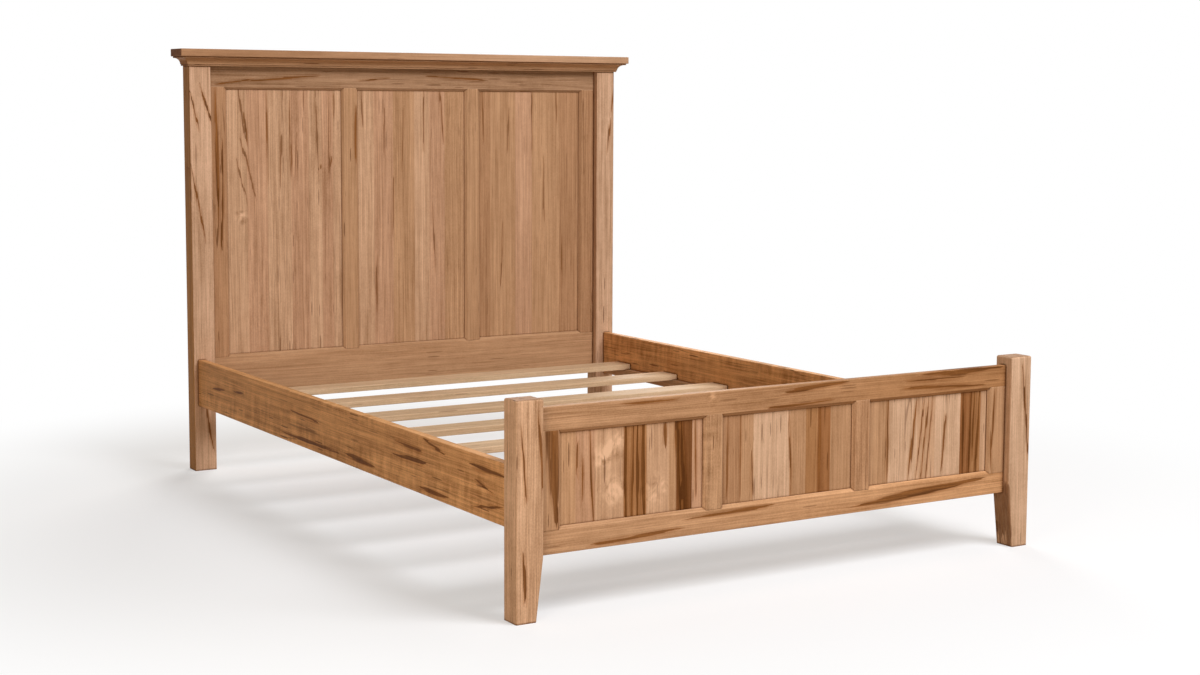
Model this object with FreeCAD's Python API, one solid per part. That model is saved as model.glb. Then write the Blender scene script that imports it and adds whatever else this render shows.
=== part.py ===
"""Queen-size panel bed frame in solid wormy maple.

A tall headboard under a crown and a low footboard, each a frame of rails, stiles and mullions round three
floating panels, stand between square posts. Two side rails hook into steel plates let into the posts.
Slats lie on cleats inside the side rails, and three of them stand on centre legs with levelling feet.

Millimetres. The origin is on the floor under the middle of the bed, +Z is up and +Y points to the head.
"""

import FreeCAD
import Part

import os

V = FreeCAD.Vector

# Overall sizes
POST_SPAN = 1620.0  # across the bed, outer face to outer face of the posts
FRONT_TO_FRONT = 2176.0  # front of the footboard posts to front of the headboard posts
HEAD_POST_HEIGHT = 1360.0
FOOT_POST_HEIGHT = 530.0
CUT_OVERRUN = 4.0  # how far a cutting tool runs past the face that it opens
SAME_PLACE = 1e-6  # two coordinates closer than this are one

# Posts
POST_WIDTH = 73.0
POST_DEPTH = 61.0
POST_EDGE_ROUND = 3.0
FOOT_POST_TOP_ROUND = 5.0
LEG_TAPER = 18.5  # how far the inner face of a footboard leg leans out by the floor

# Framed panels
FRAME_SETBACK = 22.0  # front of the posts to front of the frame
FRAME_THICK = 22.0
FRAME_EDGE_ROUND = 2.0  # on the outer edges of the rails
STILE_FLAT = 53.0
MULLION_FLAT = 45.0
STICKING_WIDTH = 8.0  # bevel round each panel
STICKING_DEPTH = 7.0
QUIRK = 1.5  # square edge between the bevel and the panel
GROOVE_WIDTH = 6.5
GROOVE_DEPTH = 10.0
PANEL_FIT = 0.2  # play of the panel's tongue on each face
PANEL_EDGE_GAP = 2.5  # room for the panel to swell across the grain
FIELD_INSET = 1.5  # back of the frame to the raised field on the panel's back
FIELD_MARGIN = 14.0  # border round that field
FIELD_CHAMFER = 3.0
HEAD_UPPER_RAIL_FLAT = 97.0
HEAD_LOWER_RAIL_BOTTOM = 250.0
HEAD_LOWER_RAIL_FLAT = 120.0
FOOT_UPPER_RAIL_TOP = 506.0
FOOT_UPPER_RAIL_FLAT = 57.5
FOOT_LOWER_RAIL_BOTTOM = 152.0
FOOT_LOWER_RAIL_FLAT = 57.0
TENON_THICK = 10.0
TENON_LENGTH = 32.0
TENON_SHOULDER = 12.0
MORTISE_FIT = 0.15
MORTISE_END_GAP = 1.0

# Crown
CAP_THICK = 24.0
CAP_REVEAL = 7.0  # edge of the cap past the cove moulding
CAP_EDGE_ROUND = 2.0
COVE_RADIUS = 20.0
COVE_LIP_HEIGHT = 5.0
COVE_LIP_STEP = 4.0
COVE_FOOT_HEIGHT = 5.0
COVE_FOOT_STEP = 2.0
COVE_FOOT_PROJECTION = 6.0

# Side rails
RAIL_HEIGHT = 152.0
RAIL_THICK = 26.0
RAIL_BOTTOM = 217.0
RAIL_INSET = 14.0  # outer face of the posts to outer face of the rail
RAIL_FIT = 0.25  # between each end of the rail and its post
RAIL_EDGE_ROUND = 2.5

# Hook plates
PLATE_WIDTH = 16.0
PLATE_MARGIN = 14.0  # edge of the rail to end of the plate
PLATE_THICK = 2.5
PLATE_CORNER_ROUND = 4.0
PLATE_FIT = 0.15  # round the plate in its recess
PLATE_SCREW_MARGIN = 8.0  # end of the plate to the nearest screw
HOOK_THICK = 3.0
HOOK_NECK = 14.0
HOOK_DROP = 9.0
HOOK_TONGUE = 5.0
HOOK_LEAD = 2.0  # bevel that guides the hook into its slot
HOOK_FIT = 0.3  # between the tongue and the back of the slotted plate
SLOT_SIDE = 0.5  # play of the hook on each side of its slot
SLOT_LIFT = 1.5  # play above the hook as it is lifted out
POCKET_SIDE = 2.0
POCKET_END = 2.0

# Cleats and slats
CLEAT_WIDTH = 22.0
CLEAT_HEIGHT = 30.0
CLEAT_RISE = 6.0  # bottom of the side rail to bottom of the cleat
CLEAT_END_GAP = 55.0
CLEAT_CHAMFER = 3.0
SLAT_COUNT = 7
SLAT_WIDTH = 89.0
SLAT_THICK = 19.0
SLAT_SIDE_GAP = 2.0  # between each end of a slat and its side rail
SLAT_END_MARGIN = 45.0  # end of the cleat to the nearest slat
SLAT_EDGE_ROUND = 2.0

# Centre legs and levelling feet
LEG_SLATS = (2, 3, 4)  # which slats stand on a leg, counted from zero at the foot
LEG_SIDE = 38.0
LEG_EDGE_ROUND = 3.0
LEG_BORE_SPARE = 4.0  # left above the stud when it is wound right in
LEG_BORE_PLAY = 0.7
INSERT_FLANGE_RADIUS = 11.0
INSERT_FLANGE_THICK = 2.0
INSERT_BARREL_RADIUS = 6.5
INSERT_BARREL_LENGTH = 18.0
INSERT_FIT = 0.1
INSERT_SPARE = 4.0  # left under the insert when the stud is wound right in
STUD_RADIUS = 4.9
STUD_LENGTH = 72.0
STUD_TIP = 1.0
STUD_RUNNING_FIT = 0.08
STUD_TRAVEL = 15.0
HEX_ACROSS_FLATS = 15.0
HEX_HEIGHT = 6.0
HEX_RISE = 1.0  # top of the pad to the underside of the hexagon
PAD_RADIUS = 16.0
PAD_RIM_HEIGHT = 3.0
PAD_FOOT_CHAMFER = 1.0
PAD_HEIGHT = 8.0
PAD_TOP_RADIUS = 8.0
PAD_SOCKET_DEPTH = 4.5
PAD_SOCKET_GAP = 0.2

# Screws
SCREW_FIT = 0.1  # round a screw in its hole
SCREW_TIP = 5.0
PLATE_SCREW_RADIUS = 2.0
PLATE_SCREW_HEAD = 4.0
PLATE_SCREW_LENGTH = 25.0
CLEAT_SCREW_RADIUS = 2.0
CLEAT_SCREW_HEAD = 4.2
CLEAT_SCREW_BITE = 18.0  # depth in the side rail
SLAT_SCREW_RADIUS = 2.0
SLAT_SCREW_HEAD = 4.2
SLAT_SCREW_BITE = 19.0  # depth in the cleat
LEG_SCREW_RADIUS = 2.4
LEG_SCREW_HEAD = 4.8
LEG_SCREW_BITE = 45.0  # depth in the leg
LEG_SCREW_SPACING = 20.0

# Places worked out from the sizes
HALF_SPAN = POST_SPAN / 2
INNER = HALF_SPAN - POST_WIDTH  # middle of the bed to the inner face of a post
FOOT_FRONT = -(FRONT_TO_FRONT + POST_DEPTH) / 2
FOOT_BACK = FOOT_FRONT + POST_DEPTH
HEAD_FRONT = FOOT_FRONT + FRONT_TO_FRONT
HEAD_BACK = HEAD_FRONT + POST_DEPTH
STILE_WIDTH = STILE_FLAT + STICKING_WIDTH
MULLION_WIDTH = MULLION_FLAT + 2 * STICKING_WIDTH
OPENING = (2 * INNER - 2 * STILE_WIDTH - 2 * MULLION_WIDTH) / 3
PANEL_PITCH = OPENING + MULLION_WIDTH
GROOVE_FRONT = STICKING_DEPTH + QUIRK
GROOVE_BACK = GROOVE_FRONT + GROOVE_WIDTH
COVE_HEIGHT = COVE_FOOT_HEIGHT + COVE_RADIUS + COVE_LIP_HEIGHT
COVE_START = COVE_FOOT_PROJECTION + COVE_FOOT_STEP
COVE_FINISH = COVE_START + COVE_RADIUS
COVE_PROJECTION = COVE_FINISH + COVE_LIP_STEP
CAP_OVERHANG = COVE_PROJECTION + CAP_REVEAL
RAIL_TOP = RAIL_BOTTOM + RAIL_HEIGHT
RAIL_OUTER = HALF_SPAN - RAIL_INSET
RAIL_INNER = RAIL_OUTER - RAIL_THICK
RAIL_MIDDLE = (RAIL_OUTER + RAIL_INNER) / 2
PLATE_MIDDLE = (RAIL_BOTTOM + RAIL_TOP) / 2
PLATE_HALF = RAIL_HEIGHT / 2 - PLATE_MARGIN
PLATE_SCREW_STEP = PLATE_HALF - PLATE_SCREW_MARGIN
PLATE_SCREW_HEIGHTS = tuple(PLATE_MIDDLE + i * PLATE_SCREW_STEP for i in (-1, 0, 1))
SLOT_HEIGHT = HOOK_NECK + HOOK_DROP + SLOT_LIFT  # lets the neck in with its tongue, and lifts
HOOK_FALL = (SLOT_HEIGHT - HOOK_DROP) / 2  # middle between two screws to the underside of the neck
HOOK_UNDERSIDES = tuple(PLATE_MIDDLE + i * PLATE_SCREW_STEP / 2 - HOOK_FALL for i in (-1, 1))
ENDS = {"head": (HEAD_FRONT, 1), "foot": (FOOT_BACK, -1)}  # post face and the way from rail to post
CLEAT_BOTTOM = RAIL_BOTTOM + CLEAT_RISE
CLEAT_TOP = CLEAT_BOTTOM + CLEAT_HEIGHT
CLEAT_FOOT_END = FOOT_BACK + CLEAT_END_GAP
CLEAT_HEAD_END = HEAD_FRONT - CLEAT_END_GAP
CLEAT_MIDDLE = RAIL_INNER - CLEAT_WIDTH / 2
SLAT_TOP = CLEAT_TOP + SLAT_THICK
FIRST_SLAT = CLEAT_FOOT_END + SLAT_END_MARGIN + SLAT_WIDTH / 2
LAST_SLAT = CLEAT_HEAD_END - SLAT_END_MARGIN - SLAT_WIDTH / 2
SLAT_PITCH = (LAST_SLAT - FIRST_SLAT) / (SLAT_COUNT - 1)
SLAT_PLACES = tuple(FIRST_SLAT + i * SLAT_PITCH for i in range(SLAT_COUNT))
HEX_BOTTOM = PAD_HEIGHT + HEX_RISE
INSERT_BOTTOM = HEX_BOTTOM + HEX_HEIGHT + STUD_TRAVEL + INSERT_SPARE
LEG_BOTTOM = INSERT_BOTTOM + INSERT_FLANGE_THICK
PAD_SOCKET_FLOOR = PAD_HEIGHT - PAD_SOCKET_DEPTH
STUD_BOTTOM = PAD_SOCKET_FLOOR + PAD_SOCKET_GAP
STUD_TOP = STUD_BOTTOM + STUD_LENGTH

# Each kind of screw: radius, head radius and length
PLATE_SCREW = (PLATE_SCREW_RADIUS, PLATE_SCREW_HEAD, PLATE_SCREW_LENGTH)
CLEAT_SCREW = (CLEAT_SCREW_RADIUS, CLEAT_SCREW_HEAD, CLEAT_WIDTH + CLEAT_SCREW_BITE)
SLAT_SCREW = (SLAT_SCREW_RADIUS, SLAT_SCREW_HEAD, SLAT_THICK + SLAT_SCREW_BITE)
LEG_SCREW = (LEG_SCREW_RADIUS, LEG_SCREW_HEAD, SLAT_THICK + LEG_SCREW_BITE)

ORIGIN = V(0, 0, 0)
ALONG_X = V(1, 0, 0)
ALONG_Y = V(0, 1, 0)
UP = V(0, 0, 1)
DOWN = V(0, 0, -1)


def box(x0, x1, y0, y1, z0, z1):
    """A block between two corners, given in any order along each axis."""
    low = V(min(x0, x1), min(y0, y1), min(z0, z1))
    high = V(max(x0, x1), max(y0, y1), max(z0, z1))
    size = high - low
    return Part.makeBox(size.x, size.y, size.z, low)


def prism(points, along):
    """A closed outline swept straight along a vector."""
    return Part.Face(Part.makePolygon(points + points[:1])).extrude(along)


def revolve(outline):
    """A solid turned about the Z axis from (radius, height) points."""
    points = [V(radius, 0, height) for radius, height in outline]
    return Part.Face(Part.makePolygon(points + points[:1])).revolve(ORIGIN, UP, 360)


def mirrored(shape):
    """The same piece on the other side of the bed."""
    return shape.mirror(ORIGIN, ALONG_X)


def same(a, b):
    """Whether two coordinates are one."""
    return abs(a - b) < SAME_PLACE


def edges_along(shape, axis):
    """Edges that run parallel to an axis."""
    found = []
    for edge in shape.Edges:
        run = edge.Vertexes[-1].Point - edge.Vertexes[0].Point
        if run.Length > 0 and run.cross(axis).Length < run.Length * axis.Length * SAME_PLACE:
            found.append(edge)
    return found


def at_height(edges, height):
    """Those of the edges that lie at one height."""
    return [e for e in edges if all(same(v.Point.z, height) for v in e.Vertexes)]


def eased(shape, radius, axis):
    """Rounds every edge that runs along an axis."""
    return shape.makeFillet(radius, edges_along(shape, axis))


def joined(shapes):
    """Shapes fused into one clean solid."""
    return shapes[0].fuse(shapes[1:]).removeSplitter()


def save(name, shape):
    """Writes one piece, or one group of like pieces, as its own file."""
    shape.exportStep(os.path.join("parts", name + ".step"))


def save_pair(name, left):
    """Writes a piece of the left side and its mirror image on the right."""
    save(name + "_left", left)
    save(name + "_right", mirrored(left))


# Screws


def screw(head, direction, kind):
    """A countersunk wood screw whose flat head lies at a point."""
    radius, head_radius, length = kind
    neck = head_radius - radius
    outline = [(0, 0), (head_radius, 0), (radius, neck), (radius, length - SCREW_TIP), (0, length)]
    return placed(revolve(outline), head, direction)


def screw_hole(head, direction, kind):
    """The hole for such a screw, open past its head."""
    radius, head_radius, length = kind
    neck = head_radius - radius
    wide, bore = head_radius + SCREW_FIT, radius + SCREW_FIT
    outline = [(0, -CUT_OVERRUN), (wide, -CUT_OVERRUN), (wide, 0), (bore, neck), (bore, length - SCREW_TIP)]
    outline.append((0, length + SCREW_FIT))
    return placed(revolve(outline), head, direction)


def placed(shape, point, direction):
    """A shape modelled up the Z axis, moved to a point and turned to a direction."""
    shape.Placement = FreeCAD.Placement(point, FreeCAD.Rotation(UP, direction))
    return shape


def drilled(shape, places, kind):
    """A piece with the holes for the screws at these (head point, direction) places."""
    return shape.cut([screw_hole(point, direction, kind) for point, direction in places])


def screw_group(places, kind):
    """Like screws as separate solids of one node."""
    return Part.makeCompound([screw(point, direction, kind) for point, direction in places])


# Hook plates of the left rail


def rail_end(end):
    """Where the end face of the side rail lies."""
    face, out = ENDS[end]
    return face - out * RAIL_FIT


def plate_block(face, into, spare=0):
    """A plate let in behind a face; spare makes it the recess for that plate."""
    half = PLATE_WIDTH / 2 + spare
    tall = PLATE_HALF + spare
    front = face - into * CUT_OVERRUN if spare else face
    block = box(-RAIL_MIDDLE - half, -RAIL_MIDDLE + half, front, face + into * PLATE_THICK,
                PLATE_MIDDLE - tall, PLATE_MIDDLE + tall)
    return eased(block, PLATE_CORNER_ROUND + spare, ALONG_Y)


def plate_screws(face, into):
    """Places of the screws through a plate let in behind a face."""
    return [(V(-RAIL_MIDDLE, face, z), V(0, into, 0)) for z in PLATE_SCREW_HEIGHTS]


def hook(end, underside):
    """One hook: a neck through the slot and a tongue that drops behind the slotted plate."""
    face, out = ENDS[end]
    root = rail_end(end) - out * PLATE_THICK
    near = face + out * (PLATE_THICK + HOOK_FIT)
    far = near + out * HOOK_TONGUE
    tip = underside - HOOK_DROP
    top = underside + HOOK_NECK
    outline = [(root, underside), (near, underside), (near, tip), (far - out * HOOK_LEAD, tip)]
    outline += [(far, tip + HOOK_LEAD), (far, top), (root, top)]
    side = -RAIL_MIDDLE - HOOK_THICK / 2
    return prism([V(side, y, z) for y, z in outline], V(HOOK_THICK, 0, 0))


def rail_hook_plate(end):
    """The plate in the end of the side rail, with its two hooks."""
    face = rail_end(end)
    into = -ENDS[end][1]
    plate = joined([plate_block(face, into)] + [hook(end, z) for z in HOOK_UNDERSIDES])
    return drilled(plate, plate_screws(face, into), PLATE_SCREW)


def post_slot_plate(end):
    """The slotted plate let into a post; the necks of the hooks rest on the ends of its slots."""
    face, into = ENDS[end]
    half = HOOK_THICK / 2 + SLOT_SIDE
    front = face - into * CUT_OVERRUN
    back = face + into * (PLATE_THICK + CUT_OVERRUN)
    left, right = -RAIL_MIDDLE - half, -RAIL_MIDDLE + half
    slots = [box(left, right, front, back, z, z + SLOT_HEIGHT) for z in HOOK_UNDERSIDES]
    return drilled(plate_block(face, into).cut(slots), plate_screws(face, into), PLATE_SCREW)


def hooked_post(post, end):
    """A post with its plate recess, hook pockets and screw holes cut."""
    face, into = ENDS[end]
    half = HOOK_THICK / 2 + POCKET_SIDE
    deep = face + into * (PLATE_THICK + HOOK_FIT + HOOK_TONGUE + POCKET_END)
    cutters = [plate_block(face, into, PLATE_FIT)]
    for z in HOOK_UNDERSIDES:
        low = z - HOOK_DROP - POCKET_END
        cutters.append(box(-RAIL_MIDDLE - half, -RAIL_MIDDLE + half, face, deep, low, z + SLOT_HEIGHT))
    return drilled(post.cut(cutters), plate_screws(face, into), PLATE_SCREW)


# Frames and panels


def member_profile(width):
    """Section of a frame member: (depth, distance from its bevelled and grooved edge) points."""
    return [
        (STICKING_DEPTH, 0), (0, STICKING_WIDTH), (0, width), (FRAME_THICK, width), (FRAME_THICK, 0),
        (GROOVE_BACK, 0), (GROOVE_BACK, GROOVE_DEPTH), (GROOVE_FRONT, GROOVE_DEPTH), (GROOVE_FRONT, 0),
    ]


class PanelFrame:
    """Rails, stiles, mullions and panels between two posts."""

    def __init__(self, post_front, lower_bottom, lower_flat, upper_top, upper_flat):
        self.front = post_front + FRAME_SETBACK
        self.lower_edge = lower_bottom + lower_flat + STICKING_WIDTH
        self.upper_edge = upper_top - upper_flat - STICKING_WIDTH
        self.lower_tenon = (lower_bottom + TENON_SHOULDER, self.lower_edge - TENON_SHOULDER)
        self.upper_tenon = (self.upper_edge + TENON_SHOULDER, upper_top - TENON_SHOULDER)
        self.lower_rail = self.rail(self.lower_edge, lower_bottom, self.lower_tenon)
        self.upper_rail = self.rail(self.upper_edge, upper_top, self.upper_tenon)

    def tenon(self, heights, spare=0, end_gap=0, overrun=0):
        """A tenon into the left post; with spare it is the mortise for that tenon."""
        low, high = heights
        cheek = self.front + (FRAME_THICK - TENON_THICK) / 2
        end = -INNER - TENON_LENGTH - end_gap
        return box(end, -INNER + overrun, cheek - spare, cheek + TENON_THICK + spare,
                   low - spare, high + spare)

    def mortised(self, post):
        """A left post with the mortises for both rails."""
        tenons = (self.lower_tenon, self.upper_tenon)
        return post.cut([self.tenon(t, MORTISE_FIT, MORTISE_END_GAP, CUT_OVERRUN) for t in tenons])

    def rail(self, panel_edge, outer_edge, tenon_heights):
        """A rail from its panel edge to its outer edge, with a tenon at each end."""
        height = abs(outer_edge - panel_edge)
        away = (outer_edge - panel_edge) / height
        section = [V(-INNER, self.front + d, panel_edge + away * e) for d, e in member_profile(height)]
        body = prism(section, V(2 * INNER, 0, 0))
        if not same(outer_edge, HEAD_POST_HEIGHT):
            body = body.makeFillet(FRAME_EDGE_ROUND, at_height(edges_along(body, ALONG_X), outer_edge))
        tenon = self.tenon(tenon_heights)
        return joined([body, tenon, mirrored(tenon)])

    def coped(self, section):
        """An upright between the rails, coped over their bevels and tongued into their grooves."""
        foot = self.lower_edge - STICKING_WIDTH
        height = self.upper_edge + STICKING_WIDTH - foot
        upright = prism([V(x, self.front + d, foot) for x, d in section], V(0, 0, height))
        return upright.cut([self.lower_rail, self.upper_rail])

    def stile(self):
        """The left stile, glued to its post."""
        edge = -INNER + STILE_WIDTH
        return self.coped([(edge - e, d) for d, e in member_profile(STILE_WIDTH)])

    def mullion(self):
        """The left mullion, with a panel on both sides."""
        middle = -PANEL_PITCH / 2
        half = MULLION_WIDTH / 2
        left = self.coped([(middle - half + e, d) for d, e in member_profile(half)])
        right = self.coped([(middle + half - e, d) for d, e in member_profile(half)])
        return joined([left, right])

    def panel(self, middle):
        """A flat-faced panel with a tongue all round and a raised field on its back."""
        reach = GROOVE_DEPTH - PANEL_EDGE_GAP
        half = OPENING / 2
        face = self.front + GROOVE_FRONT + PANEL_FIT
        tongue = box(middle - half - reach, middle + half + reach, face, self.front + GROOVE_BACK - PANEL_FIT,
                     self.lower_edge - reach, self.upper_edge + reach)
        field_back = self.front + FRAME_THICK - FIELD_INSET
        field_half = half - FIELD_MARGIN
        field = box(middle - field_half, middle + field_half, face, field_back,
                    self.lower_edge + FIELD_MARGIN, self.upper_edge - FIELD_MARGIN)
        rim = [e for e in field.Edges if all(same(v.Point.y, field_back) for v in e.Vertexes)]
        return joined([tongue, field.makeChamfer(FIELD_CHAMFER, rim)])

    def save(self, name):
        """Writes all of the frame's own pieces."""
        save(name + "_upper_rail", self.upper_rail)
        save(name + "_lower_rail", self.lower_rail)
        save_pair(name + "_stile", self.stile())
        save_pair(name + "_mullion", self.mullion())
        save_pair(name + "_panel", self.panel(-PANEL_PITCH))
        save(name + "_panel_centre", self.panel(0))


# Headboard


def head_post(frame):
    """The left headboard post, square from the floor to the crown."""
    block = box(-HALF_SPAN, -INNER, HEAD_FRONT, HEAD_BACK, 0, HEAD_POST_HEIGHT)
    return hooked_post(frame.mortised(eased(block, POST_EDGE_ROUND, UP)), "head")


def crown_cap():
    """The board on top of the headboard, over the cove at the front and ends and flush at the back."""
    end = HALF_SPAN + CAP_OVERHANG
    front = HEAD_FRONT - CAP_OVERHANG
    board = box(-end, end, front, HEAD_BACK, HEAD_POST_HEIGHT, HEAD_POST_HEIGHT + CAP_THICK)
    rounded = [e for e in board.Edges if any(same(v.Point.y, front) for v in e.Vertexes)]
    return board.makeFillet(CAP_EDGE_ROUND, rounded)


def cove_section(place):
    """Section of the cove moulding; place turns (projection, distance below the cap) into a point."""
    foot = COVE_HEIGHT - COVE_FOOT_HEIGHT
    bend = COVE_RADIUS * (1 - 0.5 ** 0.5)
    corners = [(COVE_FINISH, COVE_LIP_HEIGHT), (COVE_PROJECTION, COVE_LIP_HEIGHT), (COVE_PROJECTION, 0)]
    corners += [(0, 0), (0, COVE_HEIGHT), (COVE_FOOT_PROJECTION, COVE_HEIGHT)]
    corners += [(COVE_FOOT_PROJECTION, foot), (COVE_START, foot)]
    points = [place(*corner) for corner in corners]
    edges = [Part.LineSegment(a, b).toShape() for a, b in zip(points, points[1:])]
    middle = place(COVE_START + bend, COVE_LIP_HEIGHT + bend)
    edges.append(Part.Arc(points[-1], middle, points[0]).toShape())
    return Part.Face(Part.Wire(edges))


def mitred(moulding, plan):
    """A length of moulding cut to its outline seen from above."""
    bottom = HEAD_POST_HEIGHT - COVE_HEIGHT
    return moulding.common(prism([V(x, y, bottom) for x, y in plan], V(0, 0, COVE_HEIGHT)))


def cove_front():
    """The cove along the front, mitred at both ends."""
    end = HALF_SPAN + COVE_PROJECTION
    nose = HEAD_FRONT - COVE_PROJECTION
    section = cove_section(lambda out, drop: V(-end, HEAD_FRONT - out, HEAD_POST_HEIGHT - drop))
    plan = [(-HALF_SPAN, HEAD_FRONT), (HALF_SPAN, HEAD_FRONT), (end, nose), (-end, nose)]
    return mitred(section.extrude(V(2 * end, 0, 0)), plan)


def cove_return():
    """The cove along the left end, mitred to the front one."""
    end = HALF_SPAN + COVE_PROJECTION
    nose = HEAD_FRONT - COVE_PROJECTION
    section = cove_section(lambda out, drop: V(-HALF_SPAN - out, nose, HEAD_POST_HEIGHT - drop))
    plan = [(-HALF_SPAN, HEAD_FRONT), (-end, nose), (-end, HEAD_BACK), (-HALF_SPAN, HEAD_BACK)]
    return mitred(section.extrude(V(0, HEAD_BACK - nose, 0)), plan)


def save_headboard():
    """Writes the headboard and its crown."""
    frame = PanelFrame(HEAD_FRONT, HEAD_LOWER_RAIL_BOTTOM, HEAD_LOWER_RAIL_FLAT, HEAD_POST_HEIGHT,
                       HEAD_UPPER_RAIL_FLAT)
    frame.save("headboard")
    save_pair("headboard_post", head_post(frame))
    save("crown_cap", crown_cap())
    save("crown_cove_front", cove_front())
    save_pair("crown_cove_return", cove_return())


# Footboard


def foot_post(frame):
    """The left footboard post, tapered on its inner face below the frame."""
    knee = FOOT_LOWER_RAIL_BOTTOM
    outline = [(-HALF_SPAN, 0), (-INNER - LEG_TAPER, 0), (-INNER, knee), (-INNER, FOOT_POST_HEIGHT)]
    outline.append((-HALF_SPAN, FOOT_POST_HEIGHT))
    block = prism([V(x, FOOT_FRONT, z) for x, z in outline], V(0, POST_DEPTH, 0))
    lean = V(LEG_TAPER, 0, knee)
    block = block.makeFillet(POST_EDGE_ROUND, edges_along(block, UP) + edges_along(block, lean))
    block = block.makeFillet(FOOT_POST_TOP_ROUND, at_height(block.Edges, FOOT_POST_HEIGHT))
    return hooked_post(frame.mortised(block), "foot")


def save_footboard():
    """Writes the footboard."""
    frame = PanelFrame(FOOT_FRONT, FOOT_LOWER_RAIL_BOTTOM, FOOT_LOWER_RAIL_FLAT, FOOT_UPPER_RAIL_TOP,
                       FOOT_UPPER_RAIL_FLAT)
    frame.save("footboard")
    save_pair("footboard_post", foot_post(frame))


# Side rails, cleats and slats


def cleat_screws():
    """Places of the screws through the left cleat, midway between the slats."""
    head = -RAIL_INNER + CLEAT_WIDTH
    middle = (CLEAT_BOTTOM + CLEAT_TOP) / 2
    gaps = [(a + b) / 2 for a, b in zip(SLAT_PLACES, SLAT_PLACES[1:])]
    return [(V(head, y, middle), V(-1, 0, 0)) for y in gaps]


def slat_screws(place):
    """Places of the two screws at the ends of a slat."""
    return [(V(side * CLEAT_MIDDLE, place, SLAT_TOP), DOWN) for side in (-1, 1)]


def leg_screws(place):
    """Places of the two screws through a slat into the leg under it."""
    return [(V(side * LEG_SCREW_SPACING / 2, place, SLAT_TOP), DOWN) for side in (-1, 1)]


def side_rail():
    """The left side rail, its ends recessed for the hook plates."""
    block = box(-RAIL_OUTER, -RAIL_INNER, rail_end("foot"), rail_end("head"), RAIL_BOTTOM, RAIL_TOP)
    rail = eased(block, RAIL_EDGE_ROUND, ALONG_Y)
    for end, (_, out) in ENDS.items():
        face = rail_end(end)
        rail = rail.cut(plate_block(face, -out, PLATE_FIT))
        rail = drilled(rail, plate_screws(face, -out), PLATE_SCREW)
    return drilled(rail, cleat_screws(), CLEAT_SCREW)


def cleat():
    """The strip inside the left rail that carries the slats."""
    inner = -RAIL_INNER + CLEAT_WIDTH
    block = box(-RAIL_INNER, inner, CLEAT_FOOT_END, CLEAT_HEAD_END, CLEAT_BOTTOM, CLEAT_TOP)
    lower = at_height(edges_along(block, ALONG_Y), CLEAT_BOTTOM)
    exposed = [e for e in lower if same(e.Vertexes[0].Point.x, inner)]
    strip = drilled(block.makeChamfer(CLEAT_CHAMFER, exposed), cleat_screws(), CLEAT_SCREW)
    return drilled(strip, [slat_screws(place)[0] for place in SLAT_PLACES], SLAT_SCREW)


def slat(index):
    """One slat, with screw holes at its ends and over its leg if it has one."""
    place = SLAT_PLACES[index]
    end = RAIL_INNER - SLAT_SIDE_GAP
    half = SLAT_WIDTH / 2
    block = box(-end, end, place - half, place + half, CLEAT_TOP, SLAT_TOP)
    board = drilled(eased(block, SLAT_EDGE_ROUND, ALONG_X), slat_screws(place), SLAT_SCREW)
    if index in LEG_SLATS:
        board = drilled(board, leg_screws(place), LEG_SCREW)
    return board


def save_side_rails():
    """Writes the side rails with their cleats, slats and plates."""
    save_pair("side_rail", side_rail())
    save_pair("slat_cleat", cleat())
    for index in range(SLAT_COUNT):
        save("slat_%d" % (index + 1), slat(index))
    for end in ENDS:
        save_pair("rail_hook_plate_" + end, rail_hook_plate(end))
        save_pair("post_slot_plate_" + end, post_slot_plate(end))


# Centre legs and levelling feet


def centre_leg(place):
    """A square leg under a slat, bored from below for the insert and the stud."""
    half = LEG_SIDE / 2
    block = eased(box(-half, half, place - half, place + half, LEG_BOTTOM, CLEAT_TOP), LEG_EDGE_ROUND, UP)
    foot = V(0, place, LEG_BOTTOM)
    barrel = Part.makeCylinder(INSERT_BARREL_RADIUS + INSERT_FIT, INSERT_BARREL_LENGTH, foot)
    depth = STUD_TOP + STUD_TRAVEL + LEG_BORE_SPARE - LEG_BOTTOM
    bore = Part.makeCylinder(STUD_RADIUS + LEG_BORE_PLAY, depth, foot)
    return drilled(block.cut([barrel, bore]), leg_screws(place), LEG_SCREW)


def leg_insert(place):
    """A threaded sleeve pressed into the bottom of a leg, its flange against the wood."""
    bore = STUD_RADIUS + STUD_RUNNING_FIT
    top = LEG_BOTTOM + INSERT_BARREL_LENGTH
    rim, sleeve = INSERT_FLANGE_RADIUS, INSERT_BARREL_RADIUS
    outline = [(bore, INSERT_BOTTOM), (rim, INSERT_BOTTOM), (rim, LEG_BOTTOM)]
    outline += [(sleeve, LEG_BOTTOM), (sleeve, top), (bore, top)]
    return revolve(outline).translated(V(0, place, 0))


def levelling_stud(place):
    """A stud with a hexagon to turn it by, its foot in the pad's socket."""
    outline = [(0, STUD_BOTTOM), (STUD_RADIUS, STUD_BOTTOM), (STUD_RADIUS, STUD_TOP - STUD_TIP)]
    outline += [(STUD_RADIUS - STUD_TIP, STUD_TOP), (0, STUD_TOP)]
    corner = V(HEX_ACROSS_FLATS / 3 ** 0.5, 0, HEX_BOTTOM)
    corners = [FreeCAD.Rotation(UP, 60 * i).multVec(corner) for i in range(6)]
    return joined([revolve(outline), prism(corners, V(0, 0, HEX_HEIGHT))]).translated(V(0, place, 0))


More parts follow.
